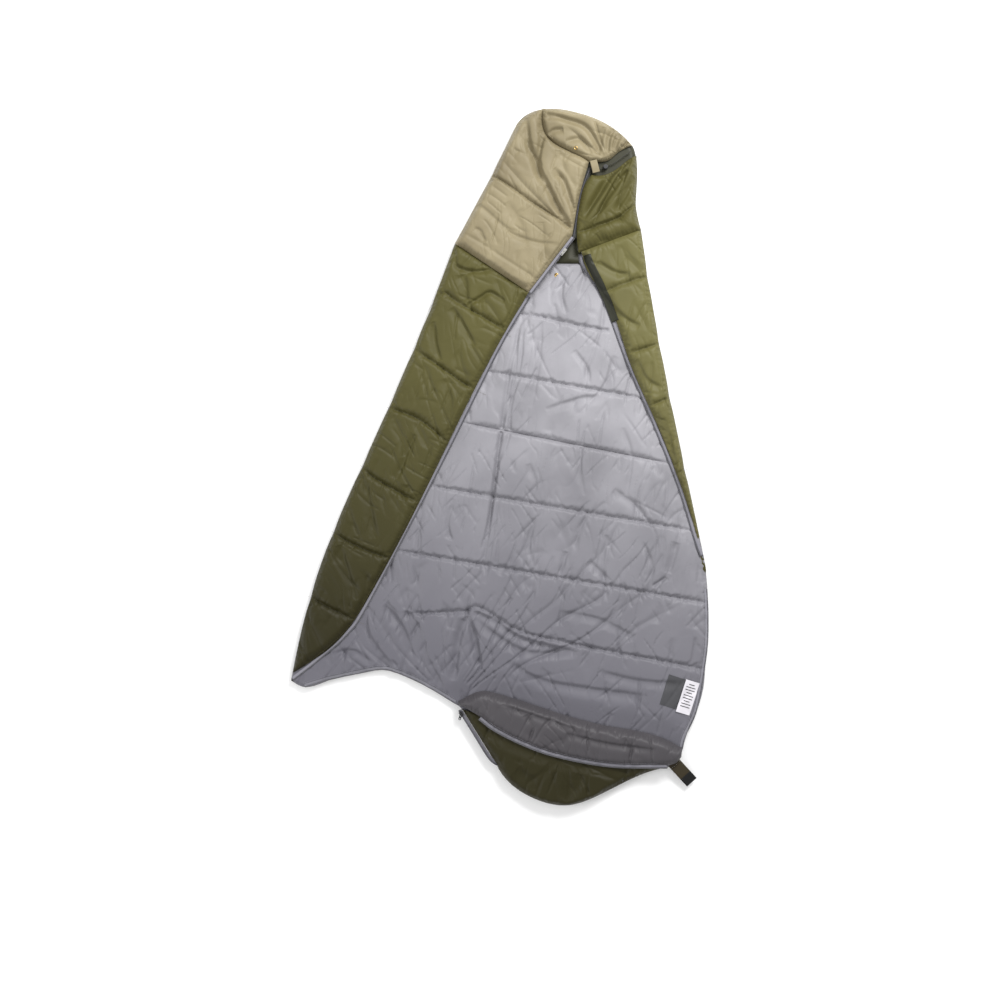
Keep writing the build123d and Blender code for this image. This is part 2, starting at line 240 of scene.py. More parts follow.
def border_of(tris):
    """The border's vertices, in order round the mesh."""
    unique, across, _ = edges_of(tris)
    open_edges = {tuple(e) for e in unique[across[:, 1] < 0]}
    after = {}
    for a, b, c in tris:
        for i, j in ((a, b), (b, c), (c, a)):
            if (min(i, j), max(i, j)) in open_edges:
                after[i] = j
    loop = [next(iter(after))]
    while after[loop[-1]] != loop[0] and len(loop) <= len(after):
        loop.append(after[loop[-1]])
    return np.array(loop)


SPEED_KEPT = 0.92        # share of its speed that cloth keeps from step to step
STRETCH_SHARE = 1.3      # how strongly an edge is pulled back to its length
SLACK = 0.35             # and how much weaker that is where the edge is too short
BEND_SHARE = 0.12        # how strongly a fold is pressed flat


def settle(x, tris, held, gain, lift, floor, roof, steps):
    """Position-based cloth: edges keep their length times gain, lift pushes up, pads limit the height."""
    edges, across, _ = edges_of(tris)
    i, j = edges.T
    folds = across[across[:, 1] >= 0]
    k, m = folds.T
    rest = np.linalg.norm(x[i] - x[j], axis=1) * gain(i, j, x[j] - x[i])
    fold_rest = np.linalg.norm(x[k] - x[m], axis=1) * 1.01
    share = 1.0 / (np.bincount(i, minlength=len(x)) + np.bincount(j, minlength=len(x)))
    fold_count = np.bincount(k, minlength=len(x)) + np.bincount(m, minlength=len(x))
    fold_share = BEND_SHARE / np.maximum(fold_count, 1)
    start, before = x.copy(), x.copy()
    for _ in range(steps):
        speed = SPEED_KEPT * (x - before)
        before = x.copy()
        x = x + speed
        x[:, 2] += lift
        for _ in range(2):
            for a, b, length, weight, give in ((i, j, rest, STRETCH_SHARE * share, SLACK),
                                               (k, m, fold_rest, fold_share, 1.0)):
                apart = x[b] - x[a]
                now = np.linalg.norm(apart, axis=1) + 1e-12
                off = (now - length) / now
                pull = apart * np.where(off > 0, off, give * off)[:, None]
                for axis in range(3):
                    push = np.bincount(a, pull[:, axis], len(x)) - np.bincount(b, pull[:, axis], len(x))
                    x[:, axis] += weight * push
            x[held] = start[held]
        x[:, 2] = np.maximum(x[:, 2], floor)
        over = x[:, 2] - roof
        x[:, 2] -= np.where(over > 0, 0.5 * over, 0)
    return x


def refined(x, tris):
    """One Loop subdivision that keeps the border where it is."""
    edges, across, where = edges_of(tris)
    inner = across[:, 1] >= 0
    middle = 0.5 * (x[edges[:, 0]] + x[edges[:, 1]])
    middle[inner] = (0.75 * middle[inner] + 0.125 * (x[across[inner, 0]] + x[across[inner, 1]]))
    around = np.zeros_like(x)
    np.add.at(around, edges[:, 0], x[edges[:, 1]])
    np.add.at(around, edges[:, 1], x[edges[:, 0]])
    valence = np.bincount(edges.ravel(), minlength=len(x))[:, None]
    beta = 3.0 / (8.0 * np.maximum(valence, 3))
    smoothed = (1 - valence * beta) * x + beta * around
    edge_side = np.zeros(len(x), bool)
    edge_side[edges[~inner].ravel()] = True
    smoothed[edge_side] = x[edge_side]
    n = len(tris)
    ab, bc, ca = (where[:n] + len(x), where[n:2 * n] + len(x), where[2 * n:] + len(x))
    a, b, c = tris.T
    new = np.concatenate([np.stack(t, 1) for t in ((a, ab, ca), (ab, b, bc), (ca, bc, c), (ab, bc, ca))])
    return np.vstack([smoothed, middle]), new


# ---------------------------------------------------------------- Blender objects

def make(name, x, faces, material, body, replaces=(), rim=None):
    """A smooth mesh object that rides on a body, with a sharp rim where its skin meets its base."""
    mesh = bpy.data.meshes.new(name)
    mesh.from_pydata(np.asarray(x, float).tolist(), [], [list(map(int, f)) for f in faces])
    mesh.validate()
    mesh.polygons.foreach_set("use_smooth", [True] * len(mesh.polygons))
    if rim is not None:
        on_rim = np.zeros(len(x), bool)
        on_rim[rim] = True
        ends = np.zeros(2 * len(mesh.edges), int)
        mesh.edges.foreach_get("vertices", ends)
        sharp = mesh.attributes.new("sharp_edge", "BOOLEAN", "EDGE")
        sharp.data.foreach_set("value", on_rim[ends.reshape(-1, 2)].all(axis=1))
    mesh.materials.append(material)
    piece = bpy.data.objects.new(name, mesh)
    bpy.context.scene.collection.objects.link(piece)
    if isinstance(body, str):
        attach(piece, body)
    if replaces:
        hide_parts(*replaces)
    return piece


def with_base(x, tris, height, spacing):
    """Closes a sheet with a coarse hidden face across its border at a height."""
    loop = border_of(tris)
    flat = x[loop][:, :2]
    low, high = flat.min(0), flat.max(0)
    gx, gy = np.meshgrid(np.arange(low[0], high[0], spacing), np.arange(low[1], high[1], spacing))
    grid = np.stack([gx.ravel(), gy.ravel()], 1)
    grid = grid[inside(grid, flat)]
    grid = grid[nearest(grid, flat)[0] > 0.7 * spacing] if len(grid) else grid
    points = np.vstack([flat, grid])
    ring = [(n, (n + 1) % len(flat)) for n in range(len(flat))]
    laid = geometry.delaunay_2d_cdt([Vector(p) for p in points], ring, [], 0, 1e-9)
    came = [source[0] if source else -1 for source in laid[3]]
    base = np.array([f for f in laid[2] if len(f) == 3 and all(came[v] >= 0 for v in f)])
    base = np.array(came)[base]
    base = base[inside(points[base].mean(1), flat)]
    turn = cross(points[base[:, 1]] - points[base[:, 0]], points[base[:, 2]] - points[base[:, 0]])
    base[turn > 0] = base[turn > 0][:, ::-1]
    index = np.concatenate([loop, np.arange(len(grid)) + len(x)])
    level = height(grid) if callable(height) else np.full(len(grid), height)
    whole = np.vstack([x, np.column_stack([grid, level])]) if len(grid) else x
    base = index[base]
    return whole, np.vstack([tris, base]), loop


# ---------------------------------------------------------------- relief

def ripple(points, rng, wavelength, waves=26):
    """Smooth seeded noise with a spread of wavelengths, about -1 to 1."""
    angle, phase = rng.uniform(0, 2 * math.pi, (2, waves))
    rate = 2 * math.pi / (wavelength * rng.uniform(0.6, 1.5, waves))
    total = np.zeros(len(points))
    for a, k, p in zip(angle, rate, phase):
        total += np.sin(k * (points[:, 0] * math.cos(a) + points[:, 1] * math.sin(a)) + p)
    return total / math.sqrt(waves)


def round_over(distance, radius):
    """A quarter-round rise from 0 at the edge to 1 at the radius."""
    return np.sqrt(1 - (1 - np.clip(distance / radius, 0, 1)) ** 2)


def along_lines(points, lines):
    """Distance to the nearest line, the line's direction there and how far along it, 0 to 1."""
    runs = [smooth_line(line, 0.003) for line in lines]
    ways = np.concatenate([unit(np.gradient(run, axis=0)) for run in runs])
    share = np.concatenate([np.linspace(0, 1, len(run)) for run in runs])
    places = np.concatenate(runs)
    distance, index = nearest(points, places)
    return distance, ways[index], share[index], places[index]


def wave(s, rng, wavelength, waves=14):
    """Smooth seeded noise along a length, about -1 to 1."""
    phase = rng.uniform(0, 2 * math.pi, waves)
    rate = 2 * math.pi / (wavelength * rng.uniform(0.6, 1.7, waves))
    return sum(np.sin(k * s + p) for k, p in zip(rate, phase)) / math.sqrt(waves / 2)


def ridge(noise, width=0.9, power=2.0):
    """Long thin ridges along a noise's zero lines, 0 to 1."""
    return np.clip(1 - np.abs(noise) / width, 0, 1) ** power


def scattered(points, rng, height, wavelength, degrees, stretch, patches=0.16, cover=0.5):
    """Patches of folds that run one way. cover is the share of the cloth that they take."""
    a = math.radians(degrees)
    u = points[:, 0] * math.cos(a) + points[:, 1] * math.sin(a)
    v = -points[:, 0] * math.sin(a) + points[:, 1] * math.cos(a)
    u = u + 0.3 * wavelength * ripple(points, rng, 7 * wavelength)
    noise = ripple(np.stack([u, v / stretch], 1), rng, wavelength * 1.8)
    patch = smoothstep((ripple(points, rng, patches) + 1.4 * cover - 0.5) / 0.6)
    return height * patch * (0.15 - ridge(noise, 0.6))


def fan(points, rng, height, centre, pitch, inner, outer, start=-180.0, end=180.0):
    """Folds that run out from a centre between two radii and two bearings."""
    rel = points[:, :2] - np.array(centre)
    reach = np.linalg.norm(rel, axis=1)
    bearing = np.arctan2(rel[:, 1], rel[:, 0])
    noise = ripple(np.stack([bearing * 0.3, reach / 4.5], 1), rng, pitch * 1.8)
    sector = (smoothstep((bearing - math.radians(start)) / 0.25)
              * smoothstep((math.radians(end) - bearing) / 0.25))
    mask = smoothstep((reach - inner) / 0.05) * (1 - smoothstep((reach - outer) / (0.6 * outer)))
    return height * sector * mask * (0.25 - ridge(noise, 0.8))


FOLD_KINDS = {"scattered": scattered, "fan": fan}
PUCKER_REACH = 0.016     # how far puckers run out from the stitching
PUCKER_PITCH = 0.040     # how far apart they are along it
PUCKER_GROUPS = 0.16     # how far apart their stronger groups are
SIDES_APART = 5.3        # shifts one side of a seam along the noise, so that its two sides differ
FURROW_WIDE = 0.0034     # half the width of the furrow that the stitching pulls in
TAPER_RATE = 5           # a crease fades over the first and last fifth of its length


def detailed(x, dense, seams, creases, folds, puckers, furrow, rng):
    """Adds a settled skin's small relief: puckers at its stitching, placed creases and scattered folds."""
    border_gap, border_at = nearest(x, dense)
    runs = [(border_gap, 0.002 * border_at)]
    if seams:
        gap, way, _, foot = along_lines(x, seams)
        on_left = cross(way, x[:, :2] - foot) > 0
        runs.append((gap, (foot * way).sum(1) + np.where(on_left, SIDES_APART, 0.0)))
    rise = np.zeros(len(x))
    for gap, length in runs:
        strength = smoothstep((wave(length, rng, PUCKER_GROUPS) + 0.8) / 1.6) * np.exp(-gap / PUCKER_REACH)
        strength *= 1 - np.exp(-gap / 0.002)
        rise += puckers * strength * (0.25 - 1.3 * ridge(wave(length, rng, PUCKER_PITCH), 0.55, 1.3))
    if seams:
        rise -= furrow * np.exp(-(gap / FURROW_WIDE) ** 2)
    for crease in creases:
        rise -= stroke(x, *crease)
    for kind, *facts in folds:
        rise += FOLD_KINDS[kind](x, rng, *facts)
    x = x.copy()
    x[:, 2] += smoothstep((border_gap - 0.001) / 0.008) * rise
    return x


def stroke(points, line, width, depth, one_side=0.0):
    """A crease along a line. one_side leans it: its right flank is that much wider."""
    distance, way, share, foot = along_lines(points, [line])
    on_right = cross(way, points[:, :2] - foot) < 0
    wide = width * np.where(on_right, 1 + one_side, 1.0)
    taper = np.clip(np.minimum(share, 1 - share) * TAPER_RATE, 0, 1)
    return depth * np.exp(-(distance / wide) ** 2) * np.sqrt(taper)


CEILING = 0.0590     # cloth above this height is pressed down softly
SQUEEZE = 0.0060     # and stays less than this far above it
TUCK_REACH = 0.032   # how far along the outline a seam's end pulls it in
TUCKS = []           # where a seam's end pulls the outline in: place, way in, how far


def tucked(x):
    """The outline drawn in a little at each seam's end, the same for every layer."""
    for place, way, far in TUCKS:
        distance = np.linalg.norm(x[:, :2] - place, axis=1)
        x[:, :2] += np.outer(far * np.exp(-(distance / TUCK_REACH) ** 2), way)
    return x


def clipped(loop, start, end):
    """The part of a loop on the left of the line through start and end."""
    side = side_of(loop, start, end)
    out = []
    for a, b, sa, sb in zip(loop, np.roll(loop, -1, 0), side, np.roll(side, -1)):
        if sa >= 0:
            out.append(a)
        if (sa >= 0) != (sb >= 0):
            out.append(a + (b - a) * sa / (sa - sb))
    out = np.array(out)
    return out[np.linalg.norm(out - np.roll(out, 1, 0), axis=1) > 1e-6]


def snapped(loop, start, end, reach):
    """A loop whose points near a straight seam are moved onto it."""
    start, end = np.array(start), np.array(end)
    way = (end - start) / np.linalg.norm(end - start)
    at = np.clip((loop - start) @ way, 0, np.linalg.norm(end - start))
    foot = start + at[:, None] * way
    near = np.linalg.norm(loop - foot, axis=1) < reach
    return np.where(near[:, None], foot, loop)


ON_LINE = 0.0015     # cloth this close to a seam or to the outline is held
LOOSE_ROOM = 0.007   # how far cloth without a roof may rise above its crest
SINK = 0.009         # how far cloth may sink below its first shape
RIM = 0.004          # width of the rim that may lie on the hidden base
ABOVE_BASE = 0.0015  # elsewhere the cloth stays this far above the base
EXTRA_FALL = 0.028    # how fast the extra cloth beside a seam fades
BASE_GRID, BLENDED_GRID = 0.05, 0.009    # spacing of a hidden base, finer where the piece bends


def pad(name, loop, seams, edges, top, depth, material, body, slot, nodes=(), *, base, creases=(), folds=(),
        rough=0.0022, excess=0.012, pucker=0.05, puckers=0.0022, seam_round=0.045, furrow=0.0032, face=1,
        roof=None, lift=2.2e-5, coarse=None, grid=1.0, fill=0.45, follow=None):
    """One skin of a quilted panel, closed by a hidden base. face -1 makes it bulge downwards."""
    rng = np.random.default_rng(SEED + sum(map(ord, name)))
    flat, tris = lay_out(loop, seams, GRID * grid, rng, coarse)
    dense = spaced_loop(loop, 0.002)
    owner = np.stack([nearest(dense, smooth_line(edge[0], 0.004))[0] for edge in edges]).argmin(0)
    height = top(flat) if callable(top) else np.full(len(flat), top)
    crest = height.copy()
    for index, (_, level, radius) in enumerate(edges):
        if not (owner == index).any():
            continue
        away = nearest(flat, dense[owner == index])[0]
        away = np.where(away < 0.0012, 0, away)
        height = np.minimum(height, level + (crest - level) * round_over(away, radius))
    if seams:
        seam_gap, seam_way, _, _ = along_lines(flat, seams)
        height = np.minimum(height, crest - depth * (1 - round_over(seam_gap, seam_round)))
    else:
        seam_gap, seam_way = np.full(len(flat), 9.0), np.zeros((len(flat), 2))
    border_gap, border_at = nearest(flat, dense)
    border_way = np.gradient(np.vstack([dense, dense[:1]]), axis=0)[:-1]
    border_way /= np.linalg.norm(border_way, axis=1)[:, None] + 1e-12
    close = seam_gap < border_gap
    gap = np.where(close, seam_gap, border_gap)
    way = np.where(close[:, None], seam_way, border_way[border_at])
    held = (border_gap < ON_LINE) | (seam_gap < ON_LINE)
    fade = smoothstep(gap / 0.03)
    shape = height + fade * rough * (ripple(flat, rng, 0.10) + 0.5 * ripple(flat, rng, 0.045)
                                     + 1.2 * ripple(flat, rng, 0.24))
    shape += np.where(held & (border_gap > ON_LINE), 0.0012 * ripple(flat, rng, 0.05), 0)
    limit = crest + LOOSE_ROOM if roof is None else roof(flat)
    bottom = base(flat) if callable(base) else base
    floor = np.minimum(shape, np.maximum(shape - SINK, bottom + 0.0006))

    def gain(i, j, step):
        nearer = np.where(gap[i] < gap[j], i, j)
        length = np.linalg.norm(step[:, :2], axis=1) + 1e-9
        lined = np.abs((step[:, :2] * way[nearer]).sum(1)) / length
        fall = np.exp(-gap[nearer] / EXTRA_FALL)
        return 1 + excess + pucker * fall * lined ** 2

    x = settle(np.column_stack([flat, shape]), tris, held, gain, lift, floor, limit, STEPS)
    x, tris = refined(x, tris)
    skin_count = len(x)
    x = detailed(x, dense, seams, creases, folds, puckers, furrow, rng)
    if roof is not None:
        x[:, 2] = np.minimum(x[:, 2], roof(x))
    under = base(x) if callable(base) else base
    x[:, 2] = np.where(nearest(x, dense)[0] > RIM, np.maximum(x[:, 2], under + ABOVE_BASE), x[:, 2])
    over = np.maximum(x[:, 2] - CEILING, 0)
    x[:, 2] -= over - SQUEEZE * np.tanh(over / SQUEEZE)
    x, faces, rim = with_base(x, tris, base, BLENDED_GRID if follow else BASE_GRID)
    x = tucked(x)
    if face < 0:
        x[:, 2] *= -1
        faces = faces[:, ::-1]
    piece = make(name, x, faces, material, None if follow else body, nodes, rim)
    if follow:
        blended(piece, follow)
    print(name, len(faces), "faces")
    return piece, x[:skin_count]


def blended(piece, follow):
    """Bakes the piece's transform into its mesh and works out a follow weight per vertex, 0 where sewn and 1
    away; the weight is not used, so the piece does not turn with the body.
    """
    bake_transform(piece)
    co = np.array([v.co for v in piece.data.vertices])
    weight = follow(co).astype(np.float32)


# ---------------------------------------------------------------- materials

def material(name, colour, dark, rough=0.5, sheen=0.02, weave=0.0009, crinkle=0.0005, low=None, metal=0.0,
             patch=0.35, gloss=0.5):
    """A procedural finish: uneven colour, partly painted shading, painted shade towards the foot and the left
    where low is given, a woven or moulded surface and small wrinkles.
    """
    made = bpy.data.materials.new(name)
    made.use_nodes = True
    nodes, link = made.node_tree.nodes, made.node_tree.links.new
    shader = nodes["Principled BSDF"]
    shader.inputs["Roughness"].default_value = rough
    shader.inputs["Metallic"].default_value = metal
    shader.inputs["Sheen Weight"].default_value = sheen
    shader.inputs["Sheen Roughness"].default_value = 0.4
    shader.inputs["Specular IOR Level"].default_value = gloss
    place = nodes.new("ShaderNodeTexCoord").outputs["Object"]

    def noise(scale, detail=4.0, stretch=(1, 1, 1)):
        turn = nodes.new("ShaderNodeMapping")
        turn.inputs["Scale"].default_value = stretch
        link(place, turn.inputs["Vector"])
        texture = nodes.new("ShaderNodeTexNoise")
        texture.inputs["Scale"].default_value = scale
        texture.inputs["Detail"].default_value = detail
        link(turn.outputs["Vector"], texture.inputs["Vector"])
        return texture.outputs["Fac"]

    def mix(factor, a, b):
        node = nodes.new("ShaderNodeMix")
        node.data_type = "RGBA"
        link(factor, node.inputs["Factor"])
        for socket, value in (("A", a), ("B", b)):
            target = [s for s in node.inputs if s.name == socket and s.type == "RGBA"][0]
            if isinstance(value, tuple):
                target.default_value = (*value, 1)
            else:
                link(value, target)
        return [s for s in node.outputs if s.type == "RGBA"][0]

    # Random blotches of the darker colour: partly the cloth's uneven tone, partly painted patchy shading and
    # sheen.
    tone_and_shading_blotch = nodes.new("ShaderNodeMapRange")
    tone_and_shading_blotch.inputs["From Min"].default_value = 0.38
    tone_and_shading_blotch.inputs["From Max"].default_value = 0.72
    tone_and_shading_blotch.inputs["To Max"].default_value = patch
    link(noise(5.5, 6.0), tone_and_shading_blotch.inputs["Value"])
    shade = mix(tone_and_shading_blotch.outputs["Result"], colour, dark)
    # low is painted shade: the colour darkens to it towards the foot and the left side.
    if low is not None:
        painted_shade_axis = nodes.new("ShaderNodeVectorMath")
        painted_shade_axis.operation = "DOT_PRODUCT"
        painted_shade_axis.inputs[1].default_value = (0.35, 1.0, 0.0)
        link(place, painted_shade_axis.inputs[0])
        ramp = nodes.new("ShaderNodeMapRange")
        ramp.interpolation_type = "SMOOTHSTEP"
        ramp.inputs["From Min"].default_value = 0.50
        ramp.inputs["From Max"].default_value = -0.85
        link(painted_shade_axis.outputs["Value"], ramp.inputs["Value"])
        shade = mix(ramp.outputs["Result"], shade, low)
    fine = nodes.new("ShaderNodeMapRange")
    fine.inputs["To Max"].default_value = 0.22
    link(noise(420, 2.0), fine.inputs["Value"])
    shade = mix(fine.outputs["Result"], shade, dark)
    link(shade, shader.inputs["Base Color"])
    last = None
    if crinkle:
        small = nodes.new("ShaderNodeBump")
        small.inputs["Strength"].default_value = 0.55
        small.inputs["Distance"].default_value = crinkle
        link(noise(62, 5.0, (1, 0.55, 1)), small.inputs["Height"])
        last = small
    if weave:
        for way in ("X", "Y"):
            thread = nodes.new("ShaderNodeTexWave")
            thread.bands_direction = way
            thread.inputs["Scale"].default_value = 0.314 / weave
            link(place, thread.inputs["Vector"])
            bump = nodes.new("ShaderNodeBump")
            bump.inputs["Strength"].default_value = 0.12
            bump.inputs["Distance"].default_value = weave * 0.12
            link(thread.outputs["Fac"], bump.inputs["Height"])
            if last is not None:
                link(last.outputs["Normal"], bump.inputs["Normal"])
            last = bump
    if last is not None:
        link(last.outputs["Normal"], shader.inputs["Normal"])
    return made


# What the hard parts and the threads share
HARD = dict(sheen=0, weave=0, crinkle=0.0001)
THREAD = dict(rough=0.6, sheen=0, weave=0)
# Where a finish has low, that colour is painted shade towards the foot and the left side.
FINISHES = {
    "shell_green": dict(colour=(0.088, 0.080, 0.024), dark=(0.046, 0.041, 0.012), low=(0.017, 0.0145, 0.003),
                        rough=0.54, gloss=0.20),
    # The shell's green lightened by painted light for the right flap, with the same painted shade towards the
    # foot.
    "shell_green_painted_light": dict(colour=(0.125, 0.115, 0.040), dark=(0.064, 0.058, 0.020), low=(0.045, 0.034, 0.010),
                        rough=0.54, gloss=0.22),
    "shell_tan": dict(colour=(0.272, 0.230, 0.140), dark=(0.094, 0.074, 0.037), rough=0.54, gloss=0.24,
                      patch=0.62),
    "lining_grey": dict(colour=(0.325, 0.318, 0.341), dark=(0.180, 0.176, 0.190), low=(0.105, 0.102, 0.122),
                        rough=0.52, gloss=0.26, patch=0.75),
    # The lining's grey darkened by painted shade, for the turned-down foot flap.
    "lining_grey_painted_shade": dict(colour=(0.066, 0.061, 0.067), dark=(0.040, 0.037, 0.041), rough=0.52, gloss=0.28,
                      patch=0.6),
    "lining_olive": dict(colour=(0.030, 0.029, 0.012), dark=(0.012, 0.012, 0.005), gloss=0.3),
    # On the placket this near-black is partly its own cloth and partly painted shadow.
    "placket_dark": dict(colour=(0.020, 0.021, 0.011), dark=(0.009, 0.009, 0.005), rough=0.55, gloss=0.3),
    "zip_tape": dict(colour=(0.21, 0.205, 0.235), dark=(0.12, 0.118, 0.14), rough=0.7, sheen=0.2,
                     weave=0.0006),
    "zip_coil": dict(colour=(0.105, 0.103, 0.115), dark=(0.060, 0.060, 0.066), rough=0.38, sheen=0, weave=0),
    "slider_silver": dict(HARD, colour=(0.62, 0.61, 0.58), dark=(0.4, 0.39, 0.37), rough=0.28, metal=1.0),
    "slider_black": dict(HARD, colour=(0.022, 0.022, 0.024), dark=(0.010, 0.010, 0.011), rough=0.32),
    "black_plastic": dict(HARD, colour=(0.020, 0.020, 0.020), dark=(0.012, 0.012, 0.012), rough=0.4),
    "spring_steel": dict(colour=(0.55, 0.55, 0.55), dark=(0.4, 0.4, 0.4), rough=0.3, sheen=0, weave=0,
                         crinkle=0.0, metal=1.0),
    "brass": dict(HARD, colour=(0.42, 0.29, 0.11), dark=(0.2, 0.13, 0.05), rough=0.34, metal=1.0),
    "cord_dark": dict(colour=(0.030, 0.028, 0.018), dark=(0.015, 0.014, 0.010), rough=0.7, sheen=0.2,
                      weave=0.0007),
    "strap_brown": dict(colour=(0.034, 0.025, 0.010), dark=(0.018, 0.013, 0.006), rough=0.68, gloss=0.3,
                        weave=0.0015),
    "strap_black": dict(colour=(0.006, 0.006, 0.006), dark=(0.003, 0.003, 0.003), rough=0.6, sheen=0.01,
                        gloss=0.25, weave=0.0015),
    "patch_grey": dict(colour=(0.058, 0.058, 0.063), dark=(0.044, 0.044, 0.048), rough=0.6, sheen=0.03,
                       gloss=0.3, weave=0.0008),
    "label_white": dict(colour=(0.66, 0.64, 0.68), dark=(0.5, 0.49, 0.52), rough=0.55, sheen=0.1,
                        weave=0.0006, patch=0.2),
    "print": dict(THREAD, colour=(0.05, 0.05, 0.055), dark=(0.03, 0.03, 0.03)),
    "thread_green": dict(THREAD, colour=(0.085, 0.078, 0.030), dark=(0.05, 0.046, 0.02)),
    "thread_tan": dict(THREAD, colour=(0.30, 0.26, 0.155), dark=(0.2, 0.17, 0.1)),
    "thread_grey": dict(THREAD, colour=(0.30, 0.295, 0.33), dark=(0.2, 0.2, 0.22)),
}
M = {name: material(name, **facts) for name, facts in FINISHES.items()}

# ---------------------------------------------------------------- seams and folds

# A crease is its line, its width, its depth and, if it leans, how much wider its right flank is.
# A ridge has a negative depth. An edge is its line, its height and the radius of its rounding.

LEFT_SIDE = [(-0.645, -0.690), (-0.620, -0.567), (-0.543, -0.304), (-0.403, 0.022), (-0.186, 0.533),
             (-0.140, 0.657)]
LEFT_HOOD = [(-0.140, 0.657), (-0.040, 0.843), (0.053, 1.029)]
CROWN_ROUND = [(0.053, 1.029), (0.095, 1.063), (0.155, 1.075), (0.235, 1.064), (0.310, 1.038),
               (0.372, 0.998), (0.412, 0.955)]
RIGHT_HOOD = [(0.412, 0.955), (0.423, 0.900), (0.422, 0.828), (0.436, 0.700)]
RIGHT_SIDE = [(0.436, 0.700), (0.468, 0.487), (0.502, 0.301), (0.539, 0.115), (0.605, -0.195),
              (0.636, -0.344)]
RIGHT_LOW = [(0.636, -0.344), (0.645, -0.500), (0.640, -0.610), (0.611, -0.778), (0.575, -0.862),
             (0.560, -0.920), (0.521, -0.958)]
FOOT_ROUND = [(0.521, -0.958), (0.416, -0.989), (0.303, -1.045), (0.211, -1.075), (0.102, -1.053),
              (0.022, -0.998), (-0.011, -0.949)]
FOOT_SIDE = [(-0.118, -0.777), (-0.011, -0.949)]
LOWER_LEFT = [(-0.645, -0.690), (-0.600, -0.712), (-0.527, -0.690), (-0.434, -0.670), (-0.357, -0.659),
              (-0.279, -0.685), (-0.217, -0.716), (-0.118, -0.777)]
YOKE_SEAM = [(-0.140, 0.657), (0.088, 0.506)]
YOKE_ZIP = [(0.099, 0.499), (0.232, 0.673)]
THROAT_EDGE = [(0.222, 0.680), (0.226, 0.703), (0.239, 0.778), (0.251, 0.828), (0.274, 0.906)]
THROAT_SIDE = [(0.242, 0.628), (0.236, 0.703), (0.245, 0.778), (0.257, 0.828), (0.283, 0.868)]
THROAT_SEAM = [(0.242, 0.628), (0.436, 0.700)]
CROWN_SEAM = [(0.274, 0.906), (0.220, 0.936), (0.179, 0.956), (0.146, 0.983), (0.129, 1.033),
              (0.133, 1.073)]
CROWN_HEM = [(0.410, 0.958), (0.381, 0.946), (0.360, 0.933), (0.335, 0.912), (0.304, 0.906),
             (0.274, 0.906)]
THROAT_HEM = [(0.283, 0.868), (0.340, 0.874), (0.378, 0.900), (0.398, 0.916), (0.421, 0.926)]
LEFT_ZIP = [(-0.636, -0.690), (-0.558, -0.629), (-0.465, -0.546), (-0.397, -0.443), (-0.186, -0.040),
            (0.000, 0.332), (0.096, 0.494)]
RIGHT_ZIP = [(0.242, 0.624), (0.250, 0.588), (0.313, 0.487), (0.384, 0.301), (0.459, 0.127),
             (0.546, -0.090), (0.595, -0.248), (0.619, -0.314)]
FLAP_ZIP = [(-0.066, -0.808), (-0.019, -0.843), (0.068, -0.887), (0.174, -0.924), (0.338, -0.954),
            (0.521, -0.958)]

LINING_SEAMS = [
    [(0.000, 0.452), (0.077, 0.440), (0.115, 0.434), (0.189, 0.418), (0.254, 0.403), (0.332, 0.391)],
    [(-0.080, 0.272), (0.009, 0.257), (0.186, 0.226), (0.415, 0.186), (0.470, 0.176)],
    [(-0.260, -0.081), (-0.205, -0.090), (0.186, -0.158), (0.589, -0.226)],
    [(-0.360, -0.279), (-0.301, -0.291), (0.186, -0.372), (0.639, -0.450)],
    [(-0.105, -0.477), (-0.062, -0.465), (0.062, -0.536), (0.242, -0.580), (0.496, -0.629), (0.623, -0.654)],
    [(-0.279, -0.484), (-0.186, -0.480), (-0.105, -0.477)],
]
LINING_CUT = [(-0.105, 0.105), (0.502, -0.015)]
LINING_MIDDLE = [(0.062, 0.394), (0.025, 0.229), (-0.019, -0.118), (-0.046, -0.304), (-0.062, -0.391)]
LAP = [(-0.366, -0.432), (-0.319, -0.474), (-0.279, -0.487), (-0.239, -0.539), (-0.217, -0.629),
       (-0.155, -0.738)]
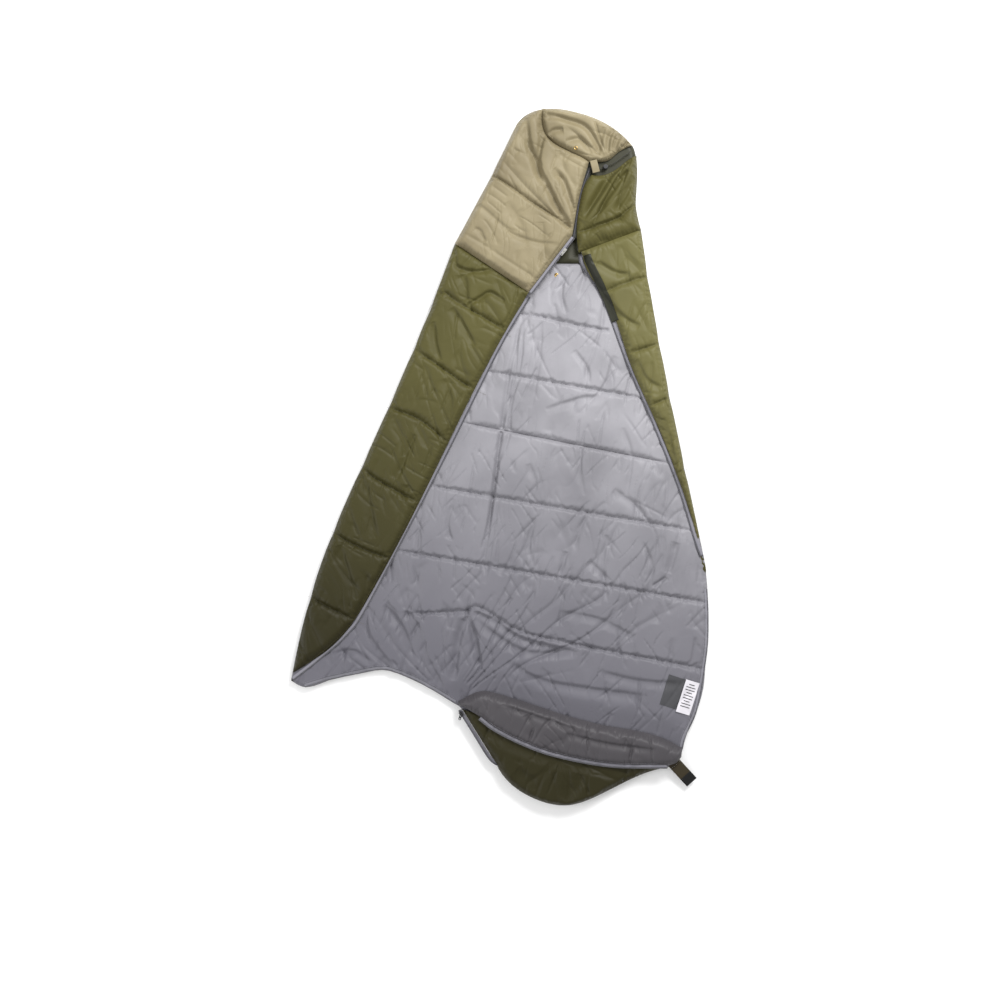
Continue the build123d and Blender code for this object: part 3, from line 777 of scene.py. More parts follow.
# A shallow dip runs along the care label's sewn side
LABEL_SEAM = [(0.628, -0.660), (0.600, -0.748), (0.572, -0.836)]
LINING_CREASES = [
    (LABEL_SEAM, 0.028, 0.0055),
    (LINING_MIDDLE, 0.0045, 0.0080, 1.0),
    ([(0.0955, 0.449), (0.058, 0.392), (0.046, 0.254), (0.003, 0.060), (-0.021, -0.121), (-0.037, -0.254)],
     0.0042, 0.0075, 1.0),
    ([(0.074, 0.401), (0.062, 0.279), (0.034, 0.155), (0.029, 0.069), (0.003, -0.012)], 0.0042, 0.0070, 1.0),
    ([(-0.004, -0.118), (-0.031, -0.304), (-0.047, -0.391)], 0.0055, 0.0056, 1.0),
    ([(0.130, 0.420), (0.122, 0.300), (0.098, 0.150)], 0.0055, 0.0056, 1.0),
    ([(0.200, 0.560), (0.190, 0.500), (0.206, 0.440)], 0.0055, 0.0070, 1.0),
    ([(0.260, 0.080), (0.248, -0.020), (0.260, -0.120)], 0.0055, 0.0056, 1.0),
    ([(0.380, 0.090), (0.405, 0.000), (0.390, -0.120)], 0.0055, 0.0056, 1.0),
    ([(0.330, -0.240), (0.318, -0.340), (0.335, -0.460)], 0.0055, 0.0063, 1.0),
    ([(0.440, -0.260), (0.470, -0.340), (0.455, -0.420)], 0.0055, 0.0063, 1.0),
    ([(0.110, -0.190), (0.090, -0.270), (0.105, -0.340)], 0.0055, 0.0056, 1.0),
    ([(-0.140, -0.130), (-0.160, -0.200), (-0.150, -0.270)], 0.0055, 0.0056, 1.0),
    ([(0.139, 0.146), (0.250, 0.180), (0.313, 0.198), (0.353, 0.313)], 0.0070, 0.0091, 1.5),
    ([(0.205, -0.291), (0.186, -0.366)], 0.0060, 0.0084, 1.0),
    ([(0.273, -0.319), (0.341, -0.384)], 0.0070, 0.0070, 1.5),
    ([(0.549, -0.264), (0.521, -0.360)], 0.0070, 0.0084, 1.5),
    ([(0.468, -0.400), (0.515, -0.372)], 0.0060, 0.0070),
    ([(-0.211, -0.251), (-0.140, -0.262), (-0.077, -0.264)], 0.0060, -0.0060, 1.0),
    ([(-0.105, -0.470), (-0.020, -0.505), (0.070, -0.562), (0.242, -0.606)], 0.0078, 0.0135, 1.5),
    ([(-0.080, -0.500), (0.000, -0.560), (0.080, -0.602), (0.170, -0.604), (0.239, -0.580)],
     0.0096, 0.0120, 1.0),
    ([(-0.100, -0.490), (-0.075, -0.560), (-0.060, -0.660)], 0.0072, 0.0135, 1.2),
    ([(-0.110, -0.500), (-0.130, -0.580), (-0.140, -0.690)], 0.0084, 0.0120, 1.0),
    ([(-0.360, -0.455), (-0.300, -0.530), (-0.260, -0.640)], 0.0084, 0.0105, 1.2),
    ([(-0.420, -0.480), (-0.400, -0.560), (-0.330, -0.650)], 0.0096, 0.0090, 1.2),
    ([(-0.520, -0.610), (-0.450, -0.600), (-0.390, -0.640)], 0.0078, 0.0090, 1.0),
    ([(0.180, -0.480), (0.300, -0.500), (0.420, -0.560)], 0.0084, 0.0075, 1.5),
    ([(0.020, -0.630), (0.130, -0.690), (0.300, -0.720), (0.460, -0.740)], 0.0090, 0.0090, 1.5),
    ([(0.300, -0.660), (0.420, -0.690), (0.560, -0.700)], 0.0078, 0.0075, 1.5),
    ([(0.350, -0.100), (0.430, -0.160), (0.450, -0.200)], 0.0072, 0.0075, 1.5),
    ([(0.090, -0.020), (0.110, -0.080), (0.100, -0.130)], 0.0060, 0.0060, 1.5),
    ([(0.230, 0.330), (0.270, 0.270), (0.275, 0.225)], 0.0054, 0.0067, 1.5),
]
LEFT_SEAMS = [
    [(-0.222, 0.449), (-0.198, 0.487), (-0.170, 0.505), (-0.136, 0.480), (-0.059, 0.434), (-0.012, 0.406),
     (0.031, 0.372)],
    [(-0.291, 0.350), (-0.177, 0.273), (-0.115, 0.229), (-0.046, 0.192)],
    [(-0.356, 0.177), (-0.350, 0.155), (-0.248, 0.115), (-0.149, 0.034)],
    [(-0.443, -0.015), (-0.394, -0.059), (-0.322, -0.102), (-0.242, -0.146)],
    [(-0.527, -0.226), (-0.437, -0.276), (-0.322, -0.319)],
    [(-0.590, -0.430), (-0.524, -0.465), (-0.422, -0.515)],
]
LEFT_CREASES = [
    ([(-0.205, 0.415), (-0.198, 0.350), (-0.183, 0.294)], 0.0060, 0.0090, 1.5),
    ([(-0.146, 0.459), (-0.110, 0.400), (-0.077, 0.338)], 0.0060, 0.0090, 1.5),
    ([(-0.260, 0.068), (-0.285, 0.010), (-0.316, -0.071)], 0.0060, 0.0090, 1.5),
    ([(-0.282, -0.087), (-0.294, -0.136)], 0.0070, 0.0070, 1.5),
    ([(-0.139, 0.614), (-0.130, 0.585), (-0.080, 0.570), (-0.019, 0.577)], 0.0054, 0.0105, 1.0),
    ([(-0.112, 0.561), (-0.105, 0.520), (-0.108, 0.471)], 0.0080, 0.0084, 1.5),
    ([(-0.102, 0.465), (-0.060, 0.490), (-0.028, 0.505), (0.015, 0.477)], 0.0054, 0.0105, 1.0),
    ([(-0.420, -0.060), (-0.400, -0.150), (-0.380, -0.250)], 0.0078, 0.0075, 1.5),
    ([(-0.490, -0.270), (-0.470, -0.350), (-0.440, -0.440)], 0.0078, 0.0075, 1.5),
    ([(-0.330, 0.130), (-0.300, 0.060), (-0.290, 0.000)], 0.0066, 0.0060, 1.5),
    ([(-0.170, 0.240), (-0.150, 0.170), (-0.160, 0.100)], 0.0066, 0.0060, 1.5),
]
RIGHT_SEAMS = [
    [(0.307, 0.502), (0.360, 0.524), (0.418, 0.546), (0.462, 0.555)],
    [(0.386, 0.316), (0.440, 0.332), (0.494, 0.350)],
    [(0.459, 0.155), (0.530, 0.186)],
    [(0.530, -0.059), (0.580, -0.037)],
]
RIGHT_CREASES = [
    ([(0.300, 0.600), (0.350, 0.570), (0.400, 0.560)], 0.0060, 0.0090, 1.5),
    ([(0.330, 0.480), (0.380, 0.430), (0.430, 0.400)], 0.0060, 0.0090, 1.5),
    ([(0.420, 0.300), (0.450, 0.240), (0.500, 0.210)], 0.0060, 0.0075, 1.5),
    ([(0.500, 0.120), (0.520, 0.060), (0.530, 0.000)], 0.0080, 0.0056, 1.5),
]
THROAT_SEAMS = [[(0.239, 0.688), (0.298, 0.707), (0.360, 0.732), (0.418, 0.778)]]
THROAT_VALLEY = [(0.405, 0.915), (0.350, 0.875), (0.300, 0.800), (0.252, 0.728)]
THROAT_CREASES = [
    (THROAT_VALLEY, 0.0080, 0.015, 0.8), ([(x + 0.014, y - 0.010) for x, y in THROAT_VALLEY], 0.009, -0.0070),
    ([(0.390, 0.880), (0.345, 0.815), (0.300, 0.745)], 0.0070, 0.012, 0.8),
    ([(0.400, 0.870), (0.360, 0.805), (0.320, 0.745)], 0.0080, -0.0050),
    ([(0.412, 0.860), (0.385, 0.800), (0.350, 0.750)], 0.0070, 0.009, 0.8),
    ([(0.420, 0.800), (0.390, 0.770), (0.375, 0.745)], 0.0070, 0.007, 0.8),
    ([(0.300, 0.690), (0.330, 0.660), (0.390, 0.680)], 0.010, 0.006, 1.5),
]
YOKE_SEAMS = [[(-0.026, 0.865), (0.037, 0.825), (0.102, 0.778), (0.180, 0.728), (0.223, 0.698)]]
YOKE_VALLEY = [(0.136, 1.000), (0.118, 0.902), (0.143, 0.840), (0.174, 0.775), (0.217, 0.700)]
YOKE_SECOND = [(0.080, 1.040), (0.090, 0.960), (0.112, 0.890), (0.130, 0.830)]
YOKE_THIRD = [(0.164, 0.884), (0.195, 0.845), (0.222, 0.770), (0.229, 0.730)]
YOKE_CREASES = [
    (YOKE_VALLEY, 0.0075, 0.016, 0.8), ([(x + 0.018, y + 0.003) for x, y in YOKE_VALLEY], 0.012, -0.0085),
    (YOKE_SECOND, 0.0080, 0.012, 0.8), ([(x + 0.018, y + 0.003) for x, y in YOKE_SECOND], 0.011, -0.0060),
    (YOKE_THIRD, 0.0070, 0.010, 0.8), ([(x + 0.014, y + 0.003) for x, y in YOKE_THIRD], 0.009, -0.0050),
    ([(-0.100, 0.790), (-0.050, 0.760), (0.020, 0.700), (0.060, 0.690)], 0.006, 0.0050, 0.8),
    ([(-0.080, 0.700), (-0.060, 0.690), (-0.045, 0.655)], 0.006, 0.0060, 0.8),
    ([(0.020, 0.690), (0.100, 0.660), (0.180, 0.650)], 0.006, 0.0050, 0.8),
    ([(-0.120, 0.690), (-0.059, 0.655), (0.009, 0.610), (0.127, 0.535)], 0.006, 0.0035),
    ([(0.190, 0.940), (0.195, 0.880), (0.230, 0.820)], 0.010, 0.007, 1.5),
    ([(0.020, 0.780), (0.060, 0.720), (0.080, 0.640)], 0.011, 0.005, 1.5),
    ([(0.130, 0.720), (0.130, 0.650), (0.150, 0.600)], 0.010, 0.005, 1.5),
]
CROWN_CREASES = [
    ([(0.142, 1.050), (0.200, 1.035), (0.262, 1.012), (0.298, 0.960), (0.318, 0.918)], 0.0075, 0.014, 0.8),
    ([(0.150, 1.036), (0.205, 1.018), (0.252, 0.992), (0.284, 0.950)], 0.0100, -0.0055),
    ([(0.350, 1.005), (0.335, 0.975), (0.330, 0.930)], 0.0065, 0.012, 0.8),
    ([(0.372, 0.990), (0.360, 0.965), (0.350, 0.935)], 0.0065, 0.011, 0.8),
    ([(0.395, 0.968), (0.383, 0.955), (0.372, 0.945)], 0.0060, 0.009, 0.8),
    ([(0.320, 1.010), (0.312, 0.980), (0.300, 0.925)], 0.0070, 0.009, 0.8),
    ([(0.150, 0.985), (0.165, 1.000), (0.195, 1.003)], 0.0070, 0.010, 0.8),
    ([(0.200, 0.965), (0.240, 0.975), (0.262, 0.960), (0.280, 0.925)], 0.0070, 0.009, 0.8),
]
FOOT_FLAP_CREASES = [
    ([(0.000, -0.760), (0.120, -0.800), (0.240, -0.840)], 0.0060, 0.0075, 1.5),
    ([(0.200, -0.850), (0.330, -0.880), (0.480, -0.900)], 0.0060, 0.0075, 1.5),
    ([(0.080, -0.790), (0.100, -0.830), (0.090, -0.870)], 0.0054, 0.0060, 1.5),
    ([(0.380, -0.860), (0.400, -0.900), (0.390, -0.940)], 0.0054, 0.0060, 1.5),
]


# ---------------------------------------------------------------- the panels

LOOPS = {name: outline_of(node) for name, node in (
    ("back", "back_lining"), ("left", "left_front_shell"), ("right", "right_front_shell"),
    ("yoke", "yoke_left_shell"), ("crown", "crown_shell"), ("throat", "throat_right_shell"),
    ("hood", "hood_lining"), ("foot", "foot_front_shell"), ("foot_flap", "foot_flap_lining"))}
FOLD_LINE = [(-0.128, -0.752), (-0.056, -0.722), (0.031, -0.741), (0.127, -0.772), (0.214, -0.800),
             (0.316, -0.826), (0.431, -0.846), (0.500, -0.866), (0.560, -0.896)]


def beside(line, distance, spacing=0.004):
    """The line moved sideways, to the left of its direction."""
    run = smooth_line(line, spacing)
    return run + distance * left_of(unit(np.gradient(run, axis=0)))


FLAP_HEM = beside([(-0.118, -0.776)] + FLAP_ZIP, 0.010)
LOOPS["foot_flap"] = np.vstack([smooth_line(FOLD_LINE)[::-1], [(-0.132, -0.764)], FLAP_HEM,
                                [(0.543, -0.940), (0.557, -0.922)]])
LOOPS["left"] = snapped(LOOPS["left"], *YOKE_SEAM, 0.012)
LOOPS["right"] = snapped(LOOPS["right"], *THROAT_SEAM, 0.012)
COVERS = [LOOPS[name] for name in ("left", "right", "hood", "foot_flap")]
COVER_EDGE = np.concatenate([spaced_loop(loop, 0.01) for loop in COVERS])
SEWN_SIDES = [(LEFT_SIDE, LEFT_SEAMS), (RIGHT_SIDE, RIGHT_SEAMS), (RIGHT_LOW, LINING_SEAMS[3:5]),
              (LEFT_HOOD, YOKE_SEAMS), (RIGHT_HOOD, THROAT_SEAMS)]
for tuck_side, tuck_seams in SEWN_SIDES:
    silhouette = smooth_line(tuck_side, 0.004)
    for seam in tuck_seams:
        gap, at = nearest(np.array([seam[0], seam[-1]]), silhouette)
        if gap.min() < 0.03:
            foot = silhouette[at[gap.argmin()]]
            inward = np.array([0.1, foot[1]]) - foot
            TUCKS.append((foot, inward / np.linalg.norm(inward), 0.0022))


def covered(points):
    return np.any([inside(points, loop) for loop in COVERS], axis=0)


def clear_of_covers(points):
    """0 under a flap, the hood or the foot, rising to 1 in the open."""
    return np.where(covered(points), 0, smoothstep(nearest(points, COVER_EDGE)[0] / 0.075))


def deep_inside(points):
    """Well under a flap, where nothing shows."""
    return covered(points) & (nearest(points, COVER_EDGE)[0] > 0.05)


SIDE_LOW = 0.0198            # where the back's shell meets its lining at the folded sides
FLAP_JOIN = 0.0226           # and where the folded flaps start
ZIP_LEVEL = 0.0262           # the flaps' free edges
SEAM_LEVEL = 0.0375          # seams between the hood and the flaps

def flat_roof(level):
    """A roof at one height."""
    return lambda points: np.full(len(points), level)


UNDERSIDE = dict(face=-1, excess=0.006, pucker=0.03, lift=0.8e-5)     # skins that lie on what is below
BACK_EDGES = [(LEFT_SIDE, SIDE_LOW, 0.022), (LEFT_HOOD, SIDE_LOW, 0.022), (CROWN_ROUND, SIDE_LOW, 0.022),
              (RIGHT_HOOD, SIDE_LOW, 0.022), (RIGHT_SIDE, SIDE_LOW, 0.022), (RIGHT_LOW, 0.0105, 0.026),
              (FOOT_ROUND, SIDE_LOW, 0.022), (FOOT_SIDE, 0.0185, 0.022), (LOWER_LEFT, 0.0095, 0.026)]
DOWNWARDS = [(line, -level, radius) for line, level, radius in BACK_EDGES]

pad("bag_back_shell", LOOPS["back"], LINING_SEAMS[:5], DOWNWARDS, -0.0008, 0.0045,
    M["shell_green"], "root", "shell_green", ["back_shell", "back_fill", "hood_gusset", "foot_gusset"],
    base=-0.0075, roof=flat_roof(-0.0004), rough=0.0006, grid=1.9, seam_round=0.035, puckers=0.0010,
    furrow=0.0010, **UNDERSIDE)


LINING_LOW = 0.0212          # the lining under the flaps
LINING_RISE = 0.0055         # and how much higher it stands in the open
LINING_BASE = 0.006          # the hidden undersides of the back's lining
HOOD_BASE = 0.0225           # and of the hood's panels and the foot


def lining_top(points):
    return LINING_LOW + LINING_RISE * clear_of_covers(points)


def lining_roof(points):
    return 0.0219 + 0.0120 * clear_of_covers(points)


SLIDER_PLACE = (-0.150, -0.765)
LINING_FOLDS = [("scattered", 0.0056, 0.060, -8, 7, 0.17, 0.55),
                ("scattered", 0.0046, 0.046, 28, 7, 0.15, 0.45),
                ("scattered", 0.0042, 0.050, -40, 6, 0.15, 0.45),
                ("scattered", 0.0026, 0.026, -5, 5, 0.12, 0.60)]
LOWER_FOLDS = [("fan", 0.0078, SLIDER_PLACE, 0.052, 0.06, 0.55, 12, 75),
               ("fan", 0.0066, SLIDER_PLACE, 0.055, 0.08, 0.42, 88, 172)]
FLAP_FOLDS = [("scattered", 0.0050, 0.060, 22, 7, 0.20, 0.48),
              ("scattered", 0.0045, 0.050, -18, 7, 0.16, 0.45),
              ("scattered", 0.0036, 0.045, 60, 6, 0.14, 0.38),
              ("scattered", 0.0022, 0.026, 10, 5, 0.12, 0.55)]
YOKE_FOLDS = [("fan", 0.0070, (0.226, 0.690), 0.11, 0.05, 0.26, 92, 150),
              ("scattered", 0.0040, 0.045, -30, 6, 0.12, 0.55),
              ("scattered", 0.0034, 0.040, 55, 5, 0.10, 0.50),
              ("scattered", 0.0018, 0.022, 0, 5, 0.10, 0.60)]
CROWN_FOLDS = [("fan", 0.0085, (0.335, 0.900), 0.12, 0.02, 0.13, 20, 178),
               ("scattered", 0.0036, 0.035, 70, 6, 0.10, 0.60)]
THROAT_FOLDS = [("fan", 0.0090, (0.420, 0.950), 0.085, 0.03, 0.22, -160, -95),
                ("fan", 0.0060, (0.236, 0.690), 0.090, 0.03, 0.14, 10, 80),
                ("scattered", 0.0034, 0.040, 30, 5, 0.10, 0.50)]
LAP_STEP = [(LAP, 0.006, 0.007, 2.5), ([(x + 0.012, y + 0.004) for x, y in LAP], 0.007, -0.006, 2.0)]
CUT_EDGE = (LINING_CUT, 0.0205, 0.040)
HEAD_CUT = [(0.10, 0.597), (0.30, 0.597)]
HEAD_EDGE = ([(-0.20, 0.597), (0.46, 0.597)], 0.0165, 0.018)
lining_common = dict(material=M["lining_grey"], body="root", slot="lining_grey", roof=lining_roof,
                     base=LINING_BASE, coarse=deep_inside, excess=0.016, pucker=0.075, puckers=0.0020,
                     furrow=0.0024, seam_round=0.034)
below_head = clipped(LOOPS["back"], *HEAD_CUT[::-1])
_, lower_skin = pad("bag_back_lining_lower", clipped(below_head, *LINING_CUT[::-1]), LINING_SEAMS[2:],
                    BACK_EDGES + [CUT_EDGE], lining_top, 0.0026, nodes=["back_lining"],
                    creases=LINING_CREASES + LAP_STEP, folds=LINING_FOLDS + LOWER_FOLDS, **lining_common)
_, upper_skin = pad("bag_back_lining_upper", clipped(below_head, *LINING_CUT), LINING_SEAMS[:2],
                    BACK_EDGES + [CUT_EDGE, HEAD_EDGE], lining_top, 0.0026, creases=LINING_CREASES,
                    folds=LINING_FOLDS, **lining_common)
pad("bag_back_lining_head", clipped(LOOPS["back"], *HEAD_CUT), [], BACK_EDGES + [HEAD_EDGE], lining_top,
    0.008, M["lining_olive"], "root", "lining_olive", roof=lining_roof, base=LINING_BASE, coarse=deep_inside,
    grid=1.3)

# Hood: its lining and three outer panels
HOOD_SIDES = [(line, FLAP_JOIN, 0.030) for line in (LEFT_HOOD, CROWN_ROUND, RIGHT_HOOD)]
HOOD_CREST = HOOD_TOP + 0.001
pad("bag_hood_lining", LOOPS["hood"], [], HOOD_SIDES, 0.0350, 0.004, M["lining_olive"], "root",
    "lining_olive", ["hood_lining"], base=HOOD_BASE, rough=0.0004, grid=1.8,
    roof=flat_roof(0.0362), fill=0.3)
_, yoke_skin = pad("bag_yoke_left", LOOPS["yoke"], YOKE_SEAMS,
    HOOD_SIDES + [(CROWN_SEAM, 0.0430, 0.024), (THROAT_EDGE, 0.0440, 0.020), (YOKE_ZIP, 0.0420, 0.022),
                  (YOKE_SEAM, SEAM_LEVEL, 0.030)],
    HOOD_CREST, 0.0030, M["shell_tan"], "root", "shell_tan", ["yoke_left_shell", "yoke_left_fill"],
    creases=YOKE_CREASES, folds=YOKE_FOLDS, base=HOOD_BASE, excess=0.017, pucker=0.075, grid=0.7)
_, crown_skin = pad("bag_crown", LOOPS["crown"], [],
    HOOD_SIDES + [(CROWN_SEAM, 0.0430, 0.024), (CROWN_HEM, 0.0420, 0.020)],
    HOOD_CREST + 0.001, 0.0080, M["shell_tan"], "root", "shell_tan", ["crown_shell", "crown_fill"],
    creases=CROWN_CREASES, folds=CROWN_FOLDS, base=HOOD_BASE, excess=0.026, pucker=0.09, grid=0.6)
_, throat_skin = pad("bag_throat_right", LOOPS["throat"], THROAT_SEAMS,
    HOOD_SIDES + [(THROAT_HEM, 0.0390, 0.020), (THROAT_SIDE, 0.0440, 0.020),
                  (THROAT_SEAM, SEAM_LEVEL, 0.030)],
    HOOD_CREST - 0.001, 0.0035, M["shell_green"], "root", "shell_green",
    ["throat_right_shell", "throat_right_fill"], creases=THROAT_CREASES, folds=THROAT_FOLDS, base=HOOD_BASE,
    excess=0.022, pucker=0.08, grid=0.7)


# Flaps: a shell above and a lining below, sewn to the bag where they fold and at the hood
def turning(silhouette, sewn_start, sewn_end, axis, ramp=0.028, sewn_ramp=0.26):
    """How far a point of a flap follows its joint: 0 at the fold and at the hood's seam, 1 away from them."""
    outer = smooth_line(silhouette, 0.004)
    joint = next(j for j in frame["joints"] if j["name"] == axis)
    place, way = np.array(joint["pos_m"][:2]), np.array(joint["axis"][:2])
    way = way / np.linalg.norm(way)

    def follow(co):
        from_fold, at = nearest(co, outer)
        rel = outer[at] - place
        offset = np.abs(rel[:, 0] * way[1] - rel[:, 1] * way[0])
        from_seam = np.abs(side_of(co[:, :2], sewn_start, sewn_end))
        past_fold = smoothstep((from_fold - 0.003) / (ramp + 1.1 * offset))
        return past_fold * smoothstep((from_seam - 0.004) / sewn_ramp)

    return follow


follow_left = turning(LEFT_SIDE, *YOKE_SEAM, "left_flap_fold")
follow_right = turning(RIGHT_SIDE, *THROAT_SEAM, "right_flap_fold", sewn_ramp=0.22)
LEFT_EDGES = [(LEFT_SIDE, FLAP_JOIN, 0.024), (LEFT_ZIP, ZIP_LEVEL, 0.030),
              (YOKE_SEAM, SEAM_LEVEL, 0.030)]
RIGHT_EDGES = [(RIGHT_SIDE, FLAP_JOIN, 0.022), (RIGHT_ZIP, ZIP_LEVEL, 0.026),
               (THROAT_SEAM, SEAM_LEVEL, 0.030)]
FLAP_SIDES = (
    ("left", "shell_green", LEFT_SEAMS, LEFT_EDGES, LEFT_CREASES, FLAP_TOP + 0.0005, follow_left),
    # The right flap's shell wears a copy of the green lightened by painted light.
    ("right", "shell_green_painted_light", RIGHT_SEAMS, RIGHT_EDGES, RIGHT_CREASES, FLAP_TOP - 0.0015, follow_right))
skins = {}
for side, finish, flap_seams, flap_edges, flap_creases, crest, follow in FLAP_SIDES:
    _, skins[side] = pad(f"bag_{side}_flap_shell", LOOPS[side], flap_seams, flap_edges, crest, 0.0045,
                         M[finish], f"{side}_flap", "shell_green",
                         [f"{side}_front_shell", f"{side}_front_fill"], creases=flap_creases, excess=0.017,
                         pucker=0.08, base=FLAP_JOIN + 0.0035, follow=follow, folds=FLAP_FOLDS,
                         puckers=0.0030, grid=0.9)
    under = [(line, -max(level - 0.0001, FLAP_JOIN + 0.0006), 0.014) for line, level, _ in flap_edges[:2]]
    under.append((flap_edges[2][0], -0.030, 0.02))
    pad(f"bag_{side}_flap_lining", LOOPS[side], flap_seams, under, -0.0228, 0.003, M["lining_grey"],
        f"{side}_flap", "lining_grey", [f"{side}_front_lining"], base=-0.0268, rough=0.0002,
        roof=flat_roof(-0.02255), grid=1.5, follow=follow, seam_round=0.03, puckers=0.0006, furrow=0.0008,
        **UNDERSIDE)

# Foot: the green front, and the flap turned down over it
FOOT_EDGES = [(FOOT_ROUND, FLAP_JOIN, 0.026), (FOOT_SIDE, FLAP_JOIN, 0.024),
              ([(-0.118, -0.777), (0.521, -0.958)], 0.0400, 0.02)]


def foot_roof(points):
    """Flat under the foot flap, higher in the open."""
    from_flap = nearest(points, spaced_loop(LOOPS["foot_flap"], 0.01))[0]
    in_the_open = smoothstep((from_flap - 0.02) / 0.03) * ~inside(points, LOOPS["foot_flap"])
    return np.full(len(points), FOOT_TOP) + 0.006 * in_the_open


pad("bag_foot_front", LOOPS["foot"], [], FOOT_EDGES,
    FOOT_TOP - 0.0006, 0.006, M["shell_green"], "root", "shell_green",
    ["foot_front_shell", "foot_front_fill", "foot_front_lining"],
    creases=[([(0.050, -0.960), (0.100, -1.000), (0.110, -1.040)], 0.014, 0.006, 1.5),
             ([(0.250, -0.975), (0.240, -1.010), (0.200, -1.060)], 0.014, 0.006, 1.5),
             ([(0.420, -0.965), (0.380, -0.990), (0.330, -1.020)], 0.013, 0.005, 1.5)],
    folds=[("fan", 0.0050, (0.200, -0.900), 0.10, 0.03, 0.12, -170, -10), *FLAP_FOLDS[1:]],
    base=HOOD_BASE, roof=foot_roof, excess=0.016, pucker=0.07)


def follow_foot(co):
    from_fold = nearest(co, smooth_line(FOLD_LINE))[0]
    return smoothstep((from_fold - 0.004) / 0.045)


FOOT_FLAP_SIDES = [([(0.560, -0.902), (0.557, -0.922), (0.543, -0.940), (0.526, -0.948)], 0.0466, 0.022),
                   (FLAP_HEM[::8], 0.0466, 0.026)]
# The foot flap's lining wears a copy of the lining grey darkened by painted shade.
_, flap_skin = pad("bag_foot_flap_lining", LOOPS["foot_flap"], [],
                   [(FOLD_LINE, 0.0300, 0.026)] + FOOT_FLAP_SIDES, FOOT_FLAP_TOP + 0.001, 0.006,
                   M["lining_grey_painted_shade"], "foot_flap", "lining_grey", ["foot_flap_lining", "foot_flap_fill"],
                   creases=FOOT_FLAP_CREASES, excess=0.018, pucker=0.08, follow=follow_foot,
                   base=lambda p: np.where(nearest(p, smooth_line(FOLD_LINE))[0] < 0.035, 0.0310, 0.0462),
                   folds=LINING_FOLDS, puckers=0.0035, grid=0.8)
SHELL_FOLD = beside(FOLD_LINE, -0.014)[::8]
SHELL_HEM = beside(FLAP_HEM[::8], 0.003)[::8]
pad("bag_foot_flap_shell", np.vstack([smooth_line(SHELL_FOLD)[::-1], SHELL_HEM, [(0.545, -0.925)]]), [],
    [(line, -0.0461, 0.012) for line in (SHELL_FOLD, SHELL_HEM)], -0.0448, 0.002, M["shell_green"],
    "foot_flap", "shell_green", ["foot_flap_shell"], base=-0.0463, rough=0.0002, roof=flat_roof(-0.0446),
    grid=1.5, follow=follow_foot, **UNDERSIDE)


# ---------------------------------------------------------------- sewn and moulded trim

def height_on(skin):
    """A function that gives the skin's height under each point, averaged over its nearest vertices."""
    tree = kdtree.KDTree(len(skin))
    for index, (x, y, _) in enumerate(skin):
        tree.insert((x, y, 0), index)
    tree.balance()

    def height(points):
        heights = []
        for x, y in points[:, :2]:
            found = tree.find_n((x, y, 0), 5)
            weights = [1 / (gap + 1e-4) for _, _, gap in found]
            heights.append(sum(skin[at, 2] * w for (_, at, _), w in zip(found, weights)) / sum(weights))
        return np.array(heights)
    return height


def trim(name, x, faces, finish, body, nodes=(), follow=None, rim=None):
    """A trim piece that rides on its body; with follow it is baked in place and rides on nothing."""
    piece = make(name, x, faces, M[finish], None if follow else body, nodes, rim)
    if follow:
        blended(piece, follow)
    return piece


def strip(name, line, half, thick, low, finish, body, nodes=(), follow=None, across=5, spacing=0.004):
    """A flat band along a line, with its underside at a height that is a number or a function of place."""
    run = spaced(smooth_line(line, 0.002), spacing)
    sideways = left_of(unit(np.gradient(run, axis=0)))
    offsets = np.linspace(-half, half, across)
    plan = (run[:, None] + offsets[None, :, None] * sideways[:, None]).reshape(-1, 2)
    under = low(plan) if callable(low) else np.full(len(plan), low)
    edge = np.tile(np.abs(offsets) / half, len(run)) ** 6
    bottom = np.column_stack([plan, under])
    top = np.column_stack([plan, under + thick * (1 - 0.3 * edge)])
    x = np.vstack([bottom, top])
    count, half_count = len(run), len(plan)
    section = list(range(across)) + [half_count + n for n in reversed(range(across))]
    faces = []
    for station in range(count - 1):
        for a, b in zip(section, section[1:] + section[:1]):
            here, there = station * across, (station + 1) * across
            faces.append((a + here, a + there, b + there, b + here))
    for station, order in ((0, 1), (count - 1, -1)):
        faces.append([n + station * across for n in section][::order])
    corners = np.array([n + level for level in (0, half_count) for s in range(count)
                        for n in (s * across, s * across + across - 1)])
    return trim(name, x, faces, finish, body, nodes, follow, corners)


def bars(centres, ways, half_long, half_wide, half_high, sides=6):
    """Small rounded bars, each lying along its own way, as points and faces."""
    reach = np.array([-1, -0.75, 0.75, 1])
    girth = np.array([0.45, 1, 1, 0.45])
    angles = np.arange(sides) * 2 * math.pi / sides + math.pi / sides
    sideways = left_of(ways)
    x = np.zeros((len(centres), 4, sides, 3))
    across = girth[:, None] * np.cos(angles) * half_wide
    x[..., :2] = (centres[:, None, None, :2] + (reach * half_long)[:, None, None] * ways[:, None, None]
                  + across[..., None] * sideways[:, None, None])
    x[..., 2] = centres[:, 2, None, None] + girth[:, None] * np.sin(angles) * half_high
    pattern = []
    for ring in range(3):
        for side in range(sides):
            a, b = ring * sides + side, ring * sides + (side + 1) % sides
            pattern.append((a, a + sides, b + sides, b))
    pattern += [tuple(range(sides)), tuple(3 * sides + n for n in reversed(range(sides)))]
    faces = [tuple(v + 4 * sides * n for v in face) for n in range(len(centres)) for face in pattern]
    return x.reshape(-1, 3), faces


def stations(line, pitch):
    """Places along a line at a pitch, with the line's direction at each."""
    run = spaced(smooth_line(line, 0.001), pitch)
    return run, unit(np.gradient(run, axis=0))


